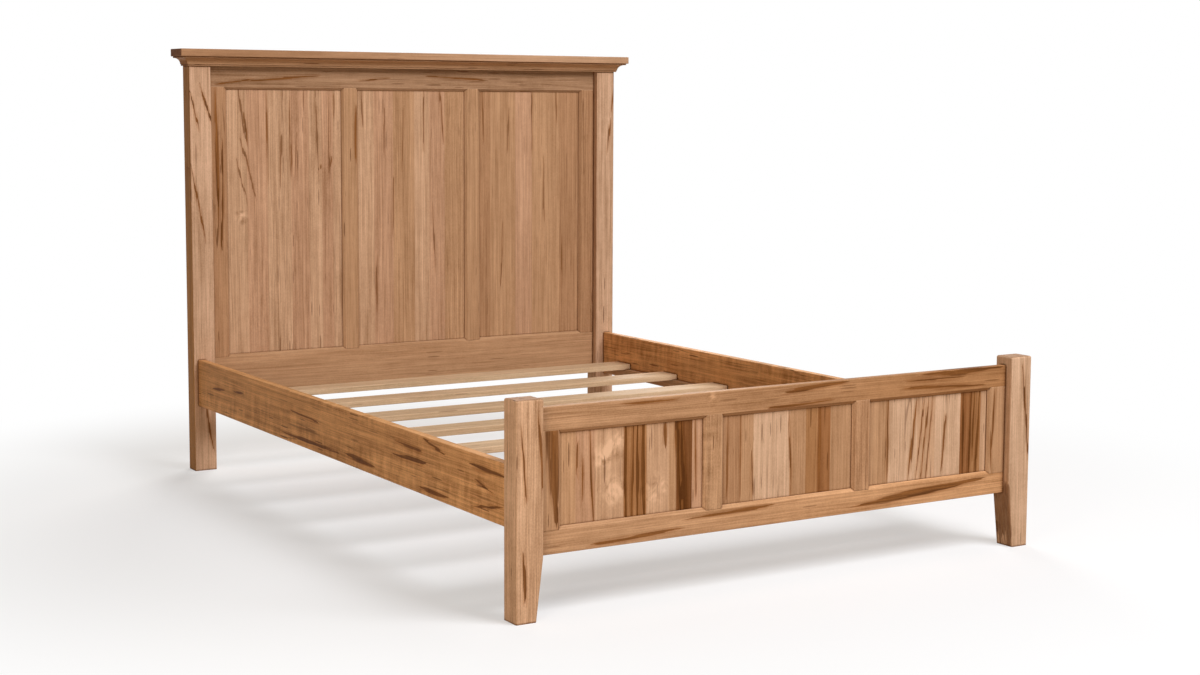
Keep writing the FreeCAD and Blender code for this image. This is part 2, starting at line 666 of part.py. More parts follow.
def levelling_pad(place):
    """A round pad that stands on the floor and holds the foot of the stud."""
    socket = STUD_RADIUS + STUD_RUNNING_FIT
    outline = [(0, 0), (PAD_RADIUS - PAD_FOOT_CHAMFER, 0), (PAD_RADIUS, PAD_FOOT_CHAMFER)]
    outline += [(PAD_RADIUS, PAD_RIM_HEIGHT), (PAD_TOP_RADIUS, PAD_HEIGHT), (socket, PAD_HEIGHT)]
    outline += [(socket, PAD_SOCKET_FLOOR), (0, PAD_SOCKET_FLOOR)]
    return revolve(outline).translated(V(0, place, 0))


def save_centre_legs():
    """Writes the legs under the middle slats and their levelling feet."""
    places = [SLAT_PLACES[index] for index in LEG_SLATS]
    for number, place in enumerate(places, 1):
        save("centre_leg_%d" % number, centre_leg(place))
        save("levelling_stud_%d" % number, levelling_stud(place))
        save("levelling_pad_%d" % number, levelling_pad(place))
    save("leg_inserts", Part.makeCompound([leg_insert(place) for place in places]))


def save_screws():
    """Writes the screws, one group for each kind."""
    faces = list(ENDS.values()) + [(rail_end(end), -out) for end, (_, out) in ENDS.items()]
    plates = screw_group([s for face, into in faces for s in plate_screws(face, into)], PLATE_SCREW)
    save("hook_plate_screws", Part.makeCompound([plates, mirrored(plates)]))
    cleats = screw_group(cleat_screws(), CLEAT_SCREW)
    save("cleat_screws", Part.makeCompound([cleats, mirrored(cleats)]))
    save("slat_screws", screw_group([s for place in SLAT_PLACES for s in slat_screws(place)], SLAT_SCREW))
    save("leg_screws", screw_group([s for i in LEG_SLATS for s in leg_screws(SLAT_PLACES[i])], LEG_SCREW))


os.makedirs("parts", exist_ok=True)
save_headboard()
save_footboard()
save_side_rails()
save_centre_legs()
save_screws()
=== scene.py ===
"""Looks of a queen-size panel bed frame in wormy maple.

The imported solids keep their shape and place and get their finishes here. The wood screws and the levelling
studs are modelled again with the detail that the solids leave out. Metres, in the frame of the solids: +Z is
up and +Y points to the head of the bed.
"""

import math
from collections import namedtuple

import bmesh
import bpy
from mathutils import Matrix, Vector


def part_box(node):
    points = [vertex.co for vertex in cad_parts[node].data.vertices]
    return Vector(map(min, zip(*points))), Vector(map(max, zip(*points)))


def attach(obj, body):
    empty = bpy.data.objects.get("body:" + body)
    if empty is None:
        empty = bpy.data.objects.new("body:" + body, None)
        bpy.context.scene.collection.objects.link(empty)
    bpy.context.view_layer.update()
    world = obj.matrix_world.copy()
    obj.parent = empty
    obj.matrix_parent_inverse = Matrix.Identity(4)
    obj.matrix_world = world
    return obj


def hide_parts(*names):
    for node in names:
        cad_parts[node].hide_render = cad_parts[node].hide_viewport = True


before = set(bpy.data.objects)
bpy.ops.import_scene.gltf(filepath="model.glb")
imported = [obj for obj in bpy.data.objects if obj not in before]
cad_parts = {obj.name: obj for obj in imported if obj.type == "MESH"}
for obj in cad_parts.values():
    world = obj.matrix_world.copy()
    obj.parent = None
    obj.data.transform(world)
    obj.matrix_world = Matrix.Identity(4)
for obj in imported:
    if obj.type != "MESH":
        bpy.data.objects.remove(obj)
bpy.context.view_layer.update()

# Camera, fitted to the photograph
IMAGE_WIDTH = 1200
FOCAL_PIXELS = 1904.5
AXIS_ABOVE_MIDDLE = 37.5  # pixels from the middle of the picture up to the optical axis
SENSOR_WIDTH = 36.0  # millimetres
CAMERA_PLACE = (-2.9240, -4.9210, 1.2139)
CAMERA_YAW = -0.55152
CAMERA_PITCH = -0.10271
CAMERA_ROLL = 0.00475

# Studio
AMBIENT = 0.23  # light from all round, as a share of white
AMBIENT_COLOUR = (1.0, 0.87, 0.72, 1.0)
WHITE = (1.0, 1.0, 1.0, 1.0)
FLOOR_COLOUR = (0.44, 0.35, 0.26, 1.0)  # as it lights the bed
FLOOR_SEEN_COLOUR = (0.86, 0.86, 0.86, 1.0)
FLOOR_PALE = 0.45  # share of plain white near the bed, where the shadow is
FLOOR_HALF = 30.0
FLOOR_CLEAR = 1.3  # radius round the bed where the floor shows its shading
FLOOR_GONE = 2.6  # radius where it has turned into plain white
Lamp = namedtuple("Lamp", "name place aim size power colour")  # in metres and watts
LAMPS = (
    Lamp("key", (1.5, -4.2, 5.0), (0.0, 0.0, 0.6), 3.0, 345.0, (0.98, 1.0, 1.05)),
    Lamp("fill", (-2.8, -2.6, 1.0), (-0.6, -0.9, 0.3), 1.2, 32.0, (1.0, 0.91, 0.80)),
    Lamp("rear", (2.4, 4.6, 3.0), (0.3, 1.0, 0.6), 2.4, 160.0, (1.0, 0.98, 0.95)),
)

# The sRGB curve of displayed colours
DISPLAY_TOP = 255
SRGB_TOE = 0.04045
SRGB_TOE_SLOPE = 12.92
SRGB_OFFSET = 0.055
SRGB_POWER = 2.4

# Tones of the finished wood, as displayed
TONES = {
    "sand": (203, 164, 133),
    "cream": (205, 168, 137),
    "honey": (196, 156, 123),
    "rose": (190, 147, 115),
    "tan": (184, 142, 106),
    "oak": (175, 132, 97),
    "ochre": (206, 152, 101),
    "straw": (205, 155, 111),
    "gold": (221, 163, 108),
    "amber": (167, 120, 79),
    "umber": (152, 103, 64),
    "walnut": (122, 78, 44),
    # Darker, greyer tone of the headboard's upper rail, which paints the shade under the crown
    "smoke": (166, 129, 98),
    "bare": (212, 181, 146),
}
STREAK_BROWN = (150, 97, 51)
STREAK_DARK = (90, 52, 22)
HOLE_DARK = (44, 26, 13)
DEEP_TINT = (0.60, 0.53, 0.44, 1.0)  # the darkest grain against the board's tone
PALE_TINT = (1.40, 1.47, 1.56, 1.0)
HALO_TINT = (0.66, 0.50, 0.34, 1.0)
END_TINT = (0.62, 0.55, 0.48, 1.0)  # end grain against long grain
LEFT_SHADE_TINT = (0.81, 0.61, 0.31, 1.0)  # painted warm shade on the left face of a board
# Painted shade and dirt in corners
CORNER_SHADE_AND_DIRT_TINT = (0.32, 0.22, 0.14, 1.0)
# Wear and a painted highlight on open edges
EDGE_WEAR_AND_HIGHLIGHT_TINT = (1.25, 1.27, 1.30, 1.0)
MIX_COLOUR_A, MIX_COLOUR_B, MIX_COLOUR_OUT = 6, 7, 2  # numbers of the mix node's colour sockets

# Layers of the wood's figure: cells per metre across, into and along the grain, and octaves
Layer = namedtuple("Layer", "cells octaves")
WARP = Layer((5.0, 5.0, 0.9), 2.0)
CLOUD = Layer((14.0, 14.0, 2.0), 3.0)
BANDS = Layer((80.0, 80.0, 2.0), 4.0)
FIBRE = Layer((280.0, 280.0, 5.0), 3.0)
THREAD = Layer((1100.0, 1100.0, 16.0), 1.0)
MOTTLE = Layer((45.0, 45.0, 28.0), 3.0)
SPECK = Layer((330.0, 330.0, 200.0), 1.0)
LINES = Layer((40.0, 40.0, 0.9), 1.0)
BREAKS = Layer((26.0, 26.0, 5.0), 1.0)
PATCHES = Layer((7.0, 7.0, 0.8), 1.0)
CURL = Layer((14.0, 14.0, 46.0), 3.0)
QUILT = Layer((28.0, 28.0, 24.0), 4.0)
LENSES = Layer((15.0, 15.0, 1.25), 0.0)
TICKS = Layer((110.0, 40.0, 8.0), 0.0)
HOLES = Layer((9.0, 9.0, 6.0), 0.0)
RAGGED = Layer((120.0, 120.0, 6.0), 2.0)
RAGGED_REACH = (0.016, 0.0, 0.10)
WARP_REACH = (0.014, 0.014, 0.0)
HALF = (0.5, 0.5, 0.5)  # middle of a noise's colour
MIDDLE = 0.5  # of a noise
MEAN_OF_TWO = 0.5
SOUND_SHADE = 0.52  # light or dark of wood that has the board's own tone
GRAIN_SHARES = (0.6, 0.8, 1.1, 0.3, 0.4)  # strength of clouds, bands, fibres, mottle and specks
RING_SHARE = 0.10
CURL_PATCHES = (0.38, 0.58)  # values of the patches where curl starts and is full
QUILT_TWIST = 1.2
QUILT_MIDDLE = 0.45
QUILT_SHARE = 4.0
LENS_CHANCE = 0  # which of a cell's three chances decides
LENS_RARE = 0.58  # share of cells without a stain
LENS_GROWTH = 0.25
LENS_EDGE = 20.0
LINE_WIDTHS = (0.012, 0.003)
LINE_PATCHES = (0.42, 0.56)
LINE_BREAKS = (0.42, 0.55)
LINE_COVER = 0.75
TICK_CHANCE = 2
TICK_RARE = 0.45  # share of cells without a tick
TICK_GROWTH = 0.55
TICK_EDGE = 24.0
TICK_PATCHES = (0.36, 0.56)
TICK_LEAST = 0.25
STREAK_EDGE = (1.02, 0.68)  # shares of a streak's half width where it starts and is full
STREAK_END = 0.001  # least half width as a share, at a streak's points
HALO_REACH = 0.007
HALO_ENDS = (0.0, 0.35)
HALO_COVER = 0.45
TORN_SHARE = 6.0  # how far fibres tear the edge of a stain
STRIPES = (0.42, 0.60)
STAIN_COVER = 0.92
RIM_COVER = 1.2
HOLE_CHANCE = 1
HOLE_RARE = 0.78  # share of cells without a hole
HOLE_EDGE = (0.022, 0.012)
HOLE_GAIN = 1.6
EYE_EDGE = (1.0, 0.1)  # shares of an eye's reach where its figure starts and is full
RING_STRETCH = (1.0, 1.0, 0.06)
RING_WAVER = {"Distortion": 1.2, "Detail": 2.0, "Detail Scale": 0.6}
RING_SHARPNESS = 5.0
RING_SCALE = 62.0  # of the growth rings, about five millimetres apart
PITH_PLACE = (0.03, 0.11, 0.0)  # middle of the rings seen from the board
SEED_STEP = (0.37, 0.53, 0.91)  # moves each board to its own piece of the figure
SEED_SPAN = (2.1, 1.7, 3.3)  # where those moves start over
STAVE_STEP = (0.9, 0.6, 1.7)  # moves the last stave of a panel, and the others by their share of it

# How each kind of board looks: the axis of its grain, its tone, and the strength of wild streaks, of curl
# across the grain and of the grain itself
Look = namedtuple("Look", "grain tone wild curl contrast")
LOOKS = {
    "headboard_post": Look("Z", "sand", 0.6, 0.2, 1.0),
    "headboard_stile": Look("Z", "oak", 0.8, 0.0, 0.9),
    "headboard_mullion": Look("Z", "tan", 0.7, 0.0, 0.8),
    "headboard_panel_left": Look("Z", "honey", 0.4, 0.0, 1.1),
    "headboard_panel_centre": Look("Z", "honey", 0.2, 0.0, 1.0),
    "headboard_panel_right": Look("Z", "tan", 0.0, 0.0, 0.85),
    # The upper rail's darker, greyer smoke tone paints the shade under the crown's overhang
    "headboard_upper_rail": Look("X", "smoke", 0.5, 0.2, 1.1),
    "headboard_lower_rail": Look("X", "tan", 0.6, 0.1, 0.8),
    "crown_cap": Look("X", "oak", 0.2, 0.1, 0.7),
    # The coves get the darker tan tone, which paints the shade under the cap
    "crown_cove_front": Look("X", "tan", 0.6, 0.0, 0.8),
    "crown_cove_return": Look("Y", "tan", 0.5, 0.0, 0.8),
    "footboard_post": Look("Z", "honey", 0.8, 0.5, 1.3),
    "footboard_post_right": Look("Z", "cream", 0.6, 0.3, 0.9),
    "footboard_stile": Look("Z", "tan", 0.6, 0.0, 0.8),
    "footboard_mullion": Look("Z", "oak", 0.9, 0.9, 1.5),
    "footboard_mullion_left": Look("Z", "tan", 0.9, 0.9, 1.5),
    "footboard_panel": Look("Z", "tan", 0.6, 0.0, 0.8),
    "footboard_upper_rail": Look("X", "tan", 0.4, 0.2, 1.0),
    "footboard_lower_rail": Look("X", "tan", 0.3, 0.2, 1.0),
    "side_rail": Look("Y", "ochre", 0.7, 1.3, 1.25),
    "slat_cleat": Look("Y", "tan", 0.5, 0.0, 0.8),
    "slat": Look("X", "bare", 0.2, 0.0, 0.7),
    "centre_leg": Look("Z", "bare", 0.2, 0.0, 0.7),
}

# Tone at the far end along the grain, of boards that change from end to end
TONE_ENDS = {
    "footboard_upper_rail": "amber",
    "footboard_lower_rail": "straw",
    "crown_cap": "honey",
    "side_rail_left": "gold",
}

# Boards whose left face is painted with warm shade, darker and warmer than the rest of the board
LEFT_SHADED_BOARDS = ("headboard_post_left", "crown_cap", "crown_cove_return_left")

# Across, into and along the grain, by the grain's own axis
AXES = {"X": "ZYX", "Y": "ZXY", "Z": "XYZ"}

# Staves of the panels: where each starts, as a share of the panel's width, and its tone
STAVE_SHARES = {
    "footboard_panel_left": ((0, "tan"), (0.12, "rose"), (0.25, "honey"), (0.44, "amber"), (0.59, "honey"),
                             (0.75, "tan"), (0.80, "walnut"), (0.91, "rose")),
    "footboard_panel_centre": ((0, "oak"), (0.15, "tan"), (0.24, "cream"), (0.51, "tan"), (0.63, "amber"),
                               (0.72, "umber"), (0.82, "tan")),
    "footboard_panel_right": ((0, "tan"), (0.17, "cream"), (0.40, "honey"), (0.55, "cream"), (0.76, "umber"),
                              (0.85, "amber"), (0.93, "honey")),
    "headboard_panel_left": ((0, "honey"), (0.18, "rose"), (0.35, "honey"), (0.55, "rose"), (0.70, "honey"),
                             (0.81, "rose"), (0.91, "honey")),
    "headboard_panel_centre": ((0, "honey"), (0.16, "rose"), (0.33, "tan"), (0.52, "honey"), (0.66, "rose"),
                               (0.80, "tan")),
    "headboard_panel_right": ((0, "oak"), (0.12, "tan"), (0.36, "rose"), (0.52, "tan"), (0.79, "oak")),
}

# Streaks that stand out: their middle as shares of the board along and across the grain, half length and half
# width in metres, slant across the grain, and depth of colour
Streak = namedtuple("Streak", "along across length width slant depth")
STREAKS = {
    "footboard_lower_rail": (
        Streak(0.20, 0.24, 0.135, 0.0052, 0.04, 1.25),
        Streak(0.38, 0.70, 0.140, 0.0057, 0.04, 1.25),
        Streak(0.78, 0.48, 0.250, 0.0120, 0.075, 1.0),
        Streak(0.80, 0.42, 0.130, 0.0034, 0.075, 2.0),
    ),
    "footboard_upper_rail": (
        Streak(0.22, 0.83, 0.085, 0.0025, 0.0, 1.25),
        Streak(0.55, 0.82, 0.115, 0.0057, 0.08, 1.15),
        Streak(0.52, 0.22, 0.110, 0.0025, 0.03, 1.25),
        Streak(0.81, 0.70, 0.120, 0.0037, -0.01, 1.25),
        Streak(0.88, 0.92, 0.155, 0.0080, 0.01, 1.2),
        Streak(0.83, 0.36, 0.160, 0.0039, -0.04, 1.25),
    ),
    "footboard_post_left": (
        Streak(0.72, 0.28, 0.100, 0.0025, -0.068, 1.15),
        Streak(0.21, 0.29, 0.070, 0.0039, -0.03, 1.25),
        Streak(0.76, 0.90, 0.110, 0.0034, -0.07, 0.95),
    ),
    "footboard_post_right": (
        Streak(0.72, 0.75, 0.150, 0.0032, -0.12, 1.25),
        # This streak paints a brown stain together with the shade under the footboard on the inner taper
        Streak(0.16, 0.08, 0.130, 0.0075, -0.097, 0.5),
    ),
    "footboard_stile_left": (
        Streak(0.85, 0.62, 0.200, 0.0190, -0.05, 0.85),
        Streak(0.55, 0.72, 0.150, 0.0046, -0.06, 1.35),
    ),
    "footboard_stile_right": (
        Streak(0.62, 0.30, 0.090, 0.0046, 0.05, 1.05),
        Streak(0.25, 0.20, 0.060, 0.0034, -0.05, 0.95),
    ),
    "footboard_panel_left": (
        Streak(0.70, 0.13, 0.055, 0.0018, 0.0, 1.25),
        Streak(0.45, 0.165, 0.060, 0.0023, 0.0, 1.25),
        Streak(0.50, 0.225, 0.130, 0.0034, -0.05, 1.15),
        Streak(0.50, 0.455, 0.150, 0.0060, 0.0, 1.75),
        Streak(0.55, 0.500, 0.140, 0.0041, 0.02, 1.45),
        Streak(0.45, 0.533, 0.160, 0.0048, 0.0, 1.65),
        Streak(0.50, 0.574, 0.150, 0.0053, -0.02, 1.65),
        Streak(0.85, 0.72, 0.040, 0.0034, 0.0, 1.15),
        Streak(0.50, 0.835, 0.210, 0.0160, -0.07, 1.35),
        Streak(0.50, 0.820, 0.160, 0.0041, -0.07, 2.0),
        Streak(0.40, 0.850, 0.150, 0.0053, -0.07, 2.0),
        Streak(0.21, 0.845, 0.030, 0.0080, 0.0, 2.0),
        Streak(0.60, 0.935, 0.120, 0.0023, -0.03, 1.15),
    ),
    "footboard_panel_centre": (
        Streak(0.60, 0.147, 0.120, 0.0021, 0.0, 1.25),
        Streak(0.30, 0.235, 0.060, 0.0021, -0.05, 1.25),
        Streak(0.50, 0.055, 0.110, 0.0025, 0.02, 0.85),
        Streak(0.45, 0.515, 0.120, 0.0018, -0.04, 1.05),
        Streak(0.45, 0.735, 0.150, 0.0034, 0.0, 0.95),
    ),
    "footboard_panel_right": (
        Streak(0.55, 0.165, 0.125, 0.0039, 0.0, 1.15),
        Streak(0.52, 0.37, 0.125, 0.0048, 0.13, 1.15),
        Streak(0.50, 0.430, 0.125, 0.0021, 0.12, 1.25),
        Streak(0.45, 0.465, 0.125, 0.0025, 0.11, 1.25),
        Streak(0.50, 0.505, 0.130, 0.0021, 0.08, 1.25),
        Streak(0.40, 0.625, 0.090, 0.0032, 0.09, 1.35),
        Streak(0.55, 0.785, 0.150, 0.0060, 0.0, 1.85),
        Streak(0.45, 0.845, 0.150, 0.0051, 0.03, 1.85),
        Streak(0.60, 0.875, 0.110, 0.0028, 0.03, 1.65),
        Streak(0.50, 0.910, 0.130, 0.0039, 0.05, 1.65),
    ),
    "headboard_post_left": (
        Streak(0.882, 0.78, 0.072, 0.0037, -0.31, 1.25),
        Streak(0.863, 0.25, 0.068, 0.0023, -0.23, 1.15),
        Streak(0.647, 0.34, 0.125, 0.0028, -0.19, 1.15),
        Streak(0.12, 0.65, 0.100, 0.0034, -0.15, 1.25),
    ),
    "headboard_upper_rail": (
        Streak(0.077, 0.24, 0.075, 0.0030, 0.16, 1.25),
        Streak(0.19, 0.37, 0.140, 0.0037, 0.07, 1.25),
        Streak(0.61, 0.43, 0.120, 0.0030, -0.05, 1.25),
        Streak(0.40, 0.35, 0.060, 0.0023, 0.10, 0.95),
    ),
    "headboard_stile_left": (
        Streak(0.72, 0.41, 0.260, 0.0052, -0.01, 1.05),
        Streak(0.60, 0.68, 0.200, 0.0034, 0.02, 0.95),
    ),
    "headboard_mullion_left": (
        Streak(0.84, 0.85, 0.110, 0.0039, 0.0, 1.05),
    ),
    "headboard_panel_left": (
        Streak(0.92, 0.140, 0.110, 0.0039, -0.14, 0.6),
        Streak(0.84, 0.175, 0.060, 0.0033, -0.10, 0.8),
        Streak(0.70, 0.195, 0.120, 0.0036, -0.25, 0.6),
        Streak(0.66, 0.135, 0.080, 0.0028, -0.25, 0.5),
        Streak(0.82, 0.355, 0.180, 0.0020, 0.0, 0.8),
        Streak(0.74, 0.470, 0.110, 0.0036, 0.04, 0.5),
        Streak(0.80, 0.545, 0.150, 0.0028, -0.02, 0.7),
        Streak(0.72, 0.590, 0.090, 0.0023, 0.05, 0.4),
        Streak(0.96, 0.660, 0.045, 0.0023, 0.0, 0.4),
        Streak(0.79, 0.780, 0.140, 0.0033, -0.03, 0.5),
        Streak(0.82, 0.875, 0.170, 0.0023, 0.0, 0.5),
        Streak(0.95, 0.920, 0.045, 0.0039, 0.0, 0.7),
        Streak(0.72, 0.890, 0.014, 0.0039, 0.3, 0.95),
        Streak(0.70, 0.800, 0.012, 0.0035, 0.3, 0.95),
    ),
    "headboard_panel_centre": (
        Streak(0.89, 0.776, 0.100, 0.0039, -0.08, 0.6),
        Streak(0.88, 0.608, 0.120, 0.0020, 0.0, 0.7),
        Streak(0.84, 0.250, 0.100, 0.0023, 0.0, 0.5),
        Streak(0.92, 0.060, 0.080, 0.0023, -0.04, 0.5),
        Streak(0.80, 0.420, 0.130, 0.0019, 0.02, 0.5),
        Streak(0.55, 0.330, 0.120, 0.0027, 0.03, 0.5),
        Streak(0.40, 0.700, 0.140, 0.0023, -0.04, 0.5),
        Streak(0.25, 0.180, 0.110, 0.0031, 0.02, 0.5),
    ),
    "headboard_panel_right": (
        Streak(0.90, 0.050, 0.110, 0.0030, -0.05, 0.5),
        Streak(0.88, 0.520, 0.140, 0.0019, 0.0, 0.5),
        Streak(0.84, 0.290, 0.090, 0.0022, 0.03, 0.4),
        Streak(0.93, 0.760, 0.070, 0.0023, 0.0, 0.5),
        Streak(0.60, 0.640, 0.130, 0.0027, -0.03, 0.5),
        Streak(0.35, 0.230, 0.120, 0.0028, 0.04, 0.5),
        Streak(0.30, 0.820, 0.100, 0.0022, 0.0, 0.5),
    ),
    "headboard_post_right": (
        Streak(0.80, 0.70, 0.060, 0.0028, 0.10, 1.15),
        Streak(0.90, 0.90, 0.060, 0.0030, 0.15, 1.05),
    ),
    "side_rail_left": (
        Streak(0.58, 0.61, 0.115, 0.0048, 0.05, 1.35),
        Streak(0.57, 0.15, 0.230, 0.0057, 0.0, 1.35),
        Streak(0.40, 0.17, 0.100, 0.0074, 0.03, 1.35),
        Streak(0.255, 0.74, 0.095, 0.0051, 0.05, 1.35),
        Streak(0.19, 0.90, 0.070, 0.0046, 0.20, 1.35),
        Streak(0.25, 0.53, 0.105, 0.0062, -0.03, 1.35),
        Streak(0.185, 0.11, 0.080, 0.0051, 0.0, 1.35),
        Streak(0.05, 0.79, 0.090, 0.0060, 0.0, 1.35),
        Streak(0.058, 0.52, 0.050, 0.0030, 0.20, 1.35),
        Streak(0.05, 0.22, 0.085, 0.0037, -0.18, 1.35),
        Streak(0.915, 0.53, 0.060, 0.0044, -0.07, 1.35),
        Streak(0.83, 0.62, 0.040, 0.0037, -0.07, 1.25),
    ),
}

# Burl: the middle of each eye as shares along and across the grain, and its reach in metres
Eye = namedtuple("Eye", "along across reach")
EYES = {
    "footboard_panel_left": (
        Eye(0.78, 0.39, 0.050), Eye(0.68, 0.31, 0.044), Eye(0.33, 0.38, 0.056), Eye(0.28, 0.64, 0.056),
    ),
    "footboard_upper_rail": (
        Eye(0.34, 0.72, 0.024),
    ),
    "headboard_panel_left": (
        Eye(0.52, 0.13, 0.036),
    ),
}

# Surface of the wood
WOOD_ROUGHNESS = 0.48
ROUGHNESS_SPAN = 0.16
WOOD_SPECULAR = 0.035
FIBRE_HEIGHT_SHARE = 0.5
LINE_HEIGHT_SHARE = 0.3
WOOD_BUMP = {"Strength": 0.25, "Distance": 0.0006}
# Painted shade and dirt in corners
CREVICE_REACH = 0.006
CREVICE_RAYS = 6
CREVICE_OPEN = (0.97, 0.65)  # open share of the sky where a corner's painted shade and dirt start and are darkest
CREVICE_COVER = 0.85
# Wear and a painted highlight along open edges
EDGE_RADIUS = 0.0025
EDGE_RAYS = 4
EDGE_TURN = (0.995, 0.85)  # cosine between the rounded and the flat surface where wear and painted highlight start and are full
EDGE_OPEN = (0.85, 1.0)
FACE_TURN = (0.6, 0.9)  # how far a face is turned to an axis where its tint starts and is full

# Finishes of the hardware
ZINC_COLOUR = (0.62, 0.60, 0.55)
ZINC_ROUGHNESS = 0.30
YELLOW_ZINC_COLOUR = (0.60, 0.49, 0.28)
YELLOW_ZINC_ROUGHNESS = 0.28
PLATING_CLOUDS = Layer((260.0, 260.0, 260.0), 3.0)
PLATING_LEAST = 0.80  # darkest share of the plating's colour
PLATING_SPAN = 0.4
RUBBING = Layer((4000.0, 4000.0, 300.0), 1.0)
RUBBING_ROUGHNESS = 0.15
RUBBING_BUMP = {"Strength": 0.2, "Distance": 0.0001}
PLASTIC_COLOUR = (0.02, 0.02, 0.02, 1.0)
PLASTIC_ROUGHNESS = 0.45
PLASTIC_GRAIN = Layer((1800.0, 1800.0, 1800.0), 2.0)
PLASTIC_BUMP = {"Strength": 0.3, "Distance": 0.0002}
SCUFFS = Layer((90.0, 90.0, 90.0), 4.0)
SCUFF_EDGE = (0.55, 0.75)  # values of the noise where a scuff starts and is full
SCUFF_COLOUR = (0.16, 0.16, 0.16, 1.0)
SCUFF_COVER = 0.25
SCUFF_ROUGHNESS = 0.25

# Forms of the hardware
SCREW_NODES = ("slat_screws", "leg_screws", "cleat_screws", "hook_plate_screws")
THREAD_PITCH = 0.0015
THREAD_DEPTH = 0.0009
THREAD_SIDES = 20
RINGS_PER_TURN = 6
HEX_SIDES = 6
HEX_CHAMFER_HEIGHT = 0.0006
HEX_CHAMFER_WIDTH = 0.0012
SCREW_SIDES = 24
RECESS_REACH_SHARE = 0.62  # of the head's radius
RECESS_ARM_SHARE = 0.17
RECESS_DEPTH_SHARE = 0.42
HEAD_RING_SHARES = (0.10, 0.18, 0.28, 0.40, 0.52, 0.64, 0.82)
SHANK_LEAST_SHARE = 0.2
MERGE_DISTANCE = 0.00002


def linear(tone):
    """A displayed colour as the linear colour of a shader."""
    light = []
    for value in tone:
        share = value / DISPLAY_TOP
        if share <= SRGB_TOE:
            light.append(share / SRGB_TOE_SLOPE)
        else:
            light.append(((share + SRGB_OFFSET) / (1 + SRGB_OFFSET)) ** SRGB_POWER)
    return (*light, 1.0)


class Graph:
    """Adds nodes to one shader tree and links them."""

    def __init__(self, tree):
        self.tree = tree

    def add(self, kind, inputs=(), **settings):
        """A node of a kind, with its own settings and its inputs by name or number."""
        node = self.tree.nodes.new("ShaderNode" + kind)
        for name, value in settings.items():
            setattr(node, name, value)
        self.fill(node, dict(inputs))
        return node

    def fill(self, node, inputs):
        """Feeds some inputs of a node, by name or number."""
        for key, value in inputs.items():
            self.feed(node.inputs[key], value)

    def feed(self, socket, value):
        """Links an output to a socket, or sets the socket to a plain value."""
        if isinstance(value, bpy.types.NodeSocket):
            self.tree.links.new(value, socket)
        else:
            socket.default_value = value

    def math(self, operation, a, b=0.0, clamp=False):
        """A sum, product or other function of one or two values."""
        return self.add("Math", {0: a, 1: b}, operation=operation, use_clamp=clamp).outputs[0]

    def vector(self, operation, a, b):
        """The same for vectors."""
        return self.add("VectorMath", {0: a, 1: b}, operation=operation).outputs[0]

    def scaled(self, vector, factor):
        """A vector or colour times one value."""
        return self.add("VectorMath", {0: vector, "Scale": factor}, operation="SCALE").outputs[0]

    def mix(self, share, a, b, mode="MIX"):
        """Two colours mixed."""
        inputs = {0: share, MIX_COLOUR_A: a, MIX_COLOUR_B: b}
        return self.add("Mix", inputs, data_type="RGBA", blend_type=mode).outputs[MIX_COLOUR_OUT]

    def spread(self, value, low, high, out_low=0.0, out_high=1.0, kind="SMOOTHSTEP"):
        """A range of a value carried over to another range, and clamped."""
        inputs = {"Value": value, "From Min": low, "From Max": high, "To Min": out_low, "To Max": out_high}
        return self.add("MapRange", inputs, interpolation_type=kind).outputs[0]

    def varied(self, noise, share):
        """A noise as a change up or down of a strength."""
        return self.math("MULTIPLY", self.math("SUBTRACT", noise, MIDDLE), share)

    def cells(self, point, layer):
        """Scattered cells stretched to a layer: the distance to a cell's middle, and its three chances."""
        stretched = self.vector("MULTIPLY", point, layer.cells)
        found = self.add("TexVoronoi", {"Vector": stretched, "Scale": 1.0}).outputs
        return found["Distance"], self.split(found["Color"])

    def noise(self, point, layer, output="Fac", distortion=0.0):
        """A noise stretched to a layer's cells."""
        stretched = self.vector("MULTIPLY", point, layer.cells)
        inputs = {"Vector": stretched, "Scale": 1.0, "Detail": layer.octaves, "Distortion": distortion}
        return self.add("TexNoise", inputs).outputs[output]

    def length(self, vector):
        """The length of a vector."""
        return self.add("VectorMath", {0: vector}, operation="LENGTH").outputs["Value"]

    def split(self, vector):
        """The three parts of a vector."""
        return self.add("SeparateXYZ", {0: vector}).outputs

    def joined(self, x, y, z):
        """A vector from three values."""
        return self.add("CombineXYZ", {0: x, 1: y, 2: z}).outputs[0]


def new_group(name, inputs, outputs):
    """An empty node group with its sockets, given as (name, kind), and the graph and ends inside it."""
    tree = bpy.data.node_groups.new(name, "ShaderNodeTree")
    for side, sockets in (("INPUT", inputs), ("OUTPUT", outputs)):
        for socket, kind in sockets:
            tree.interface.new_socket(name=socket, in_out=side, socket_type="NodeSocket" + kind)
    given = tree.nodes.new("NodeGroupInput").outputs
    result = tree.nodes.new("NodeGroupOutput").inputs
    return tree, Graph(tree), given, result


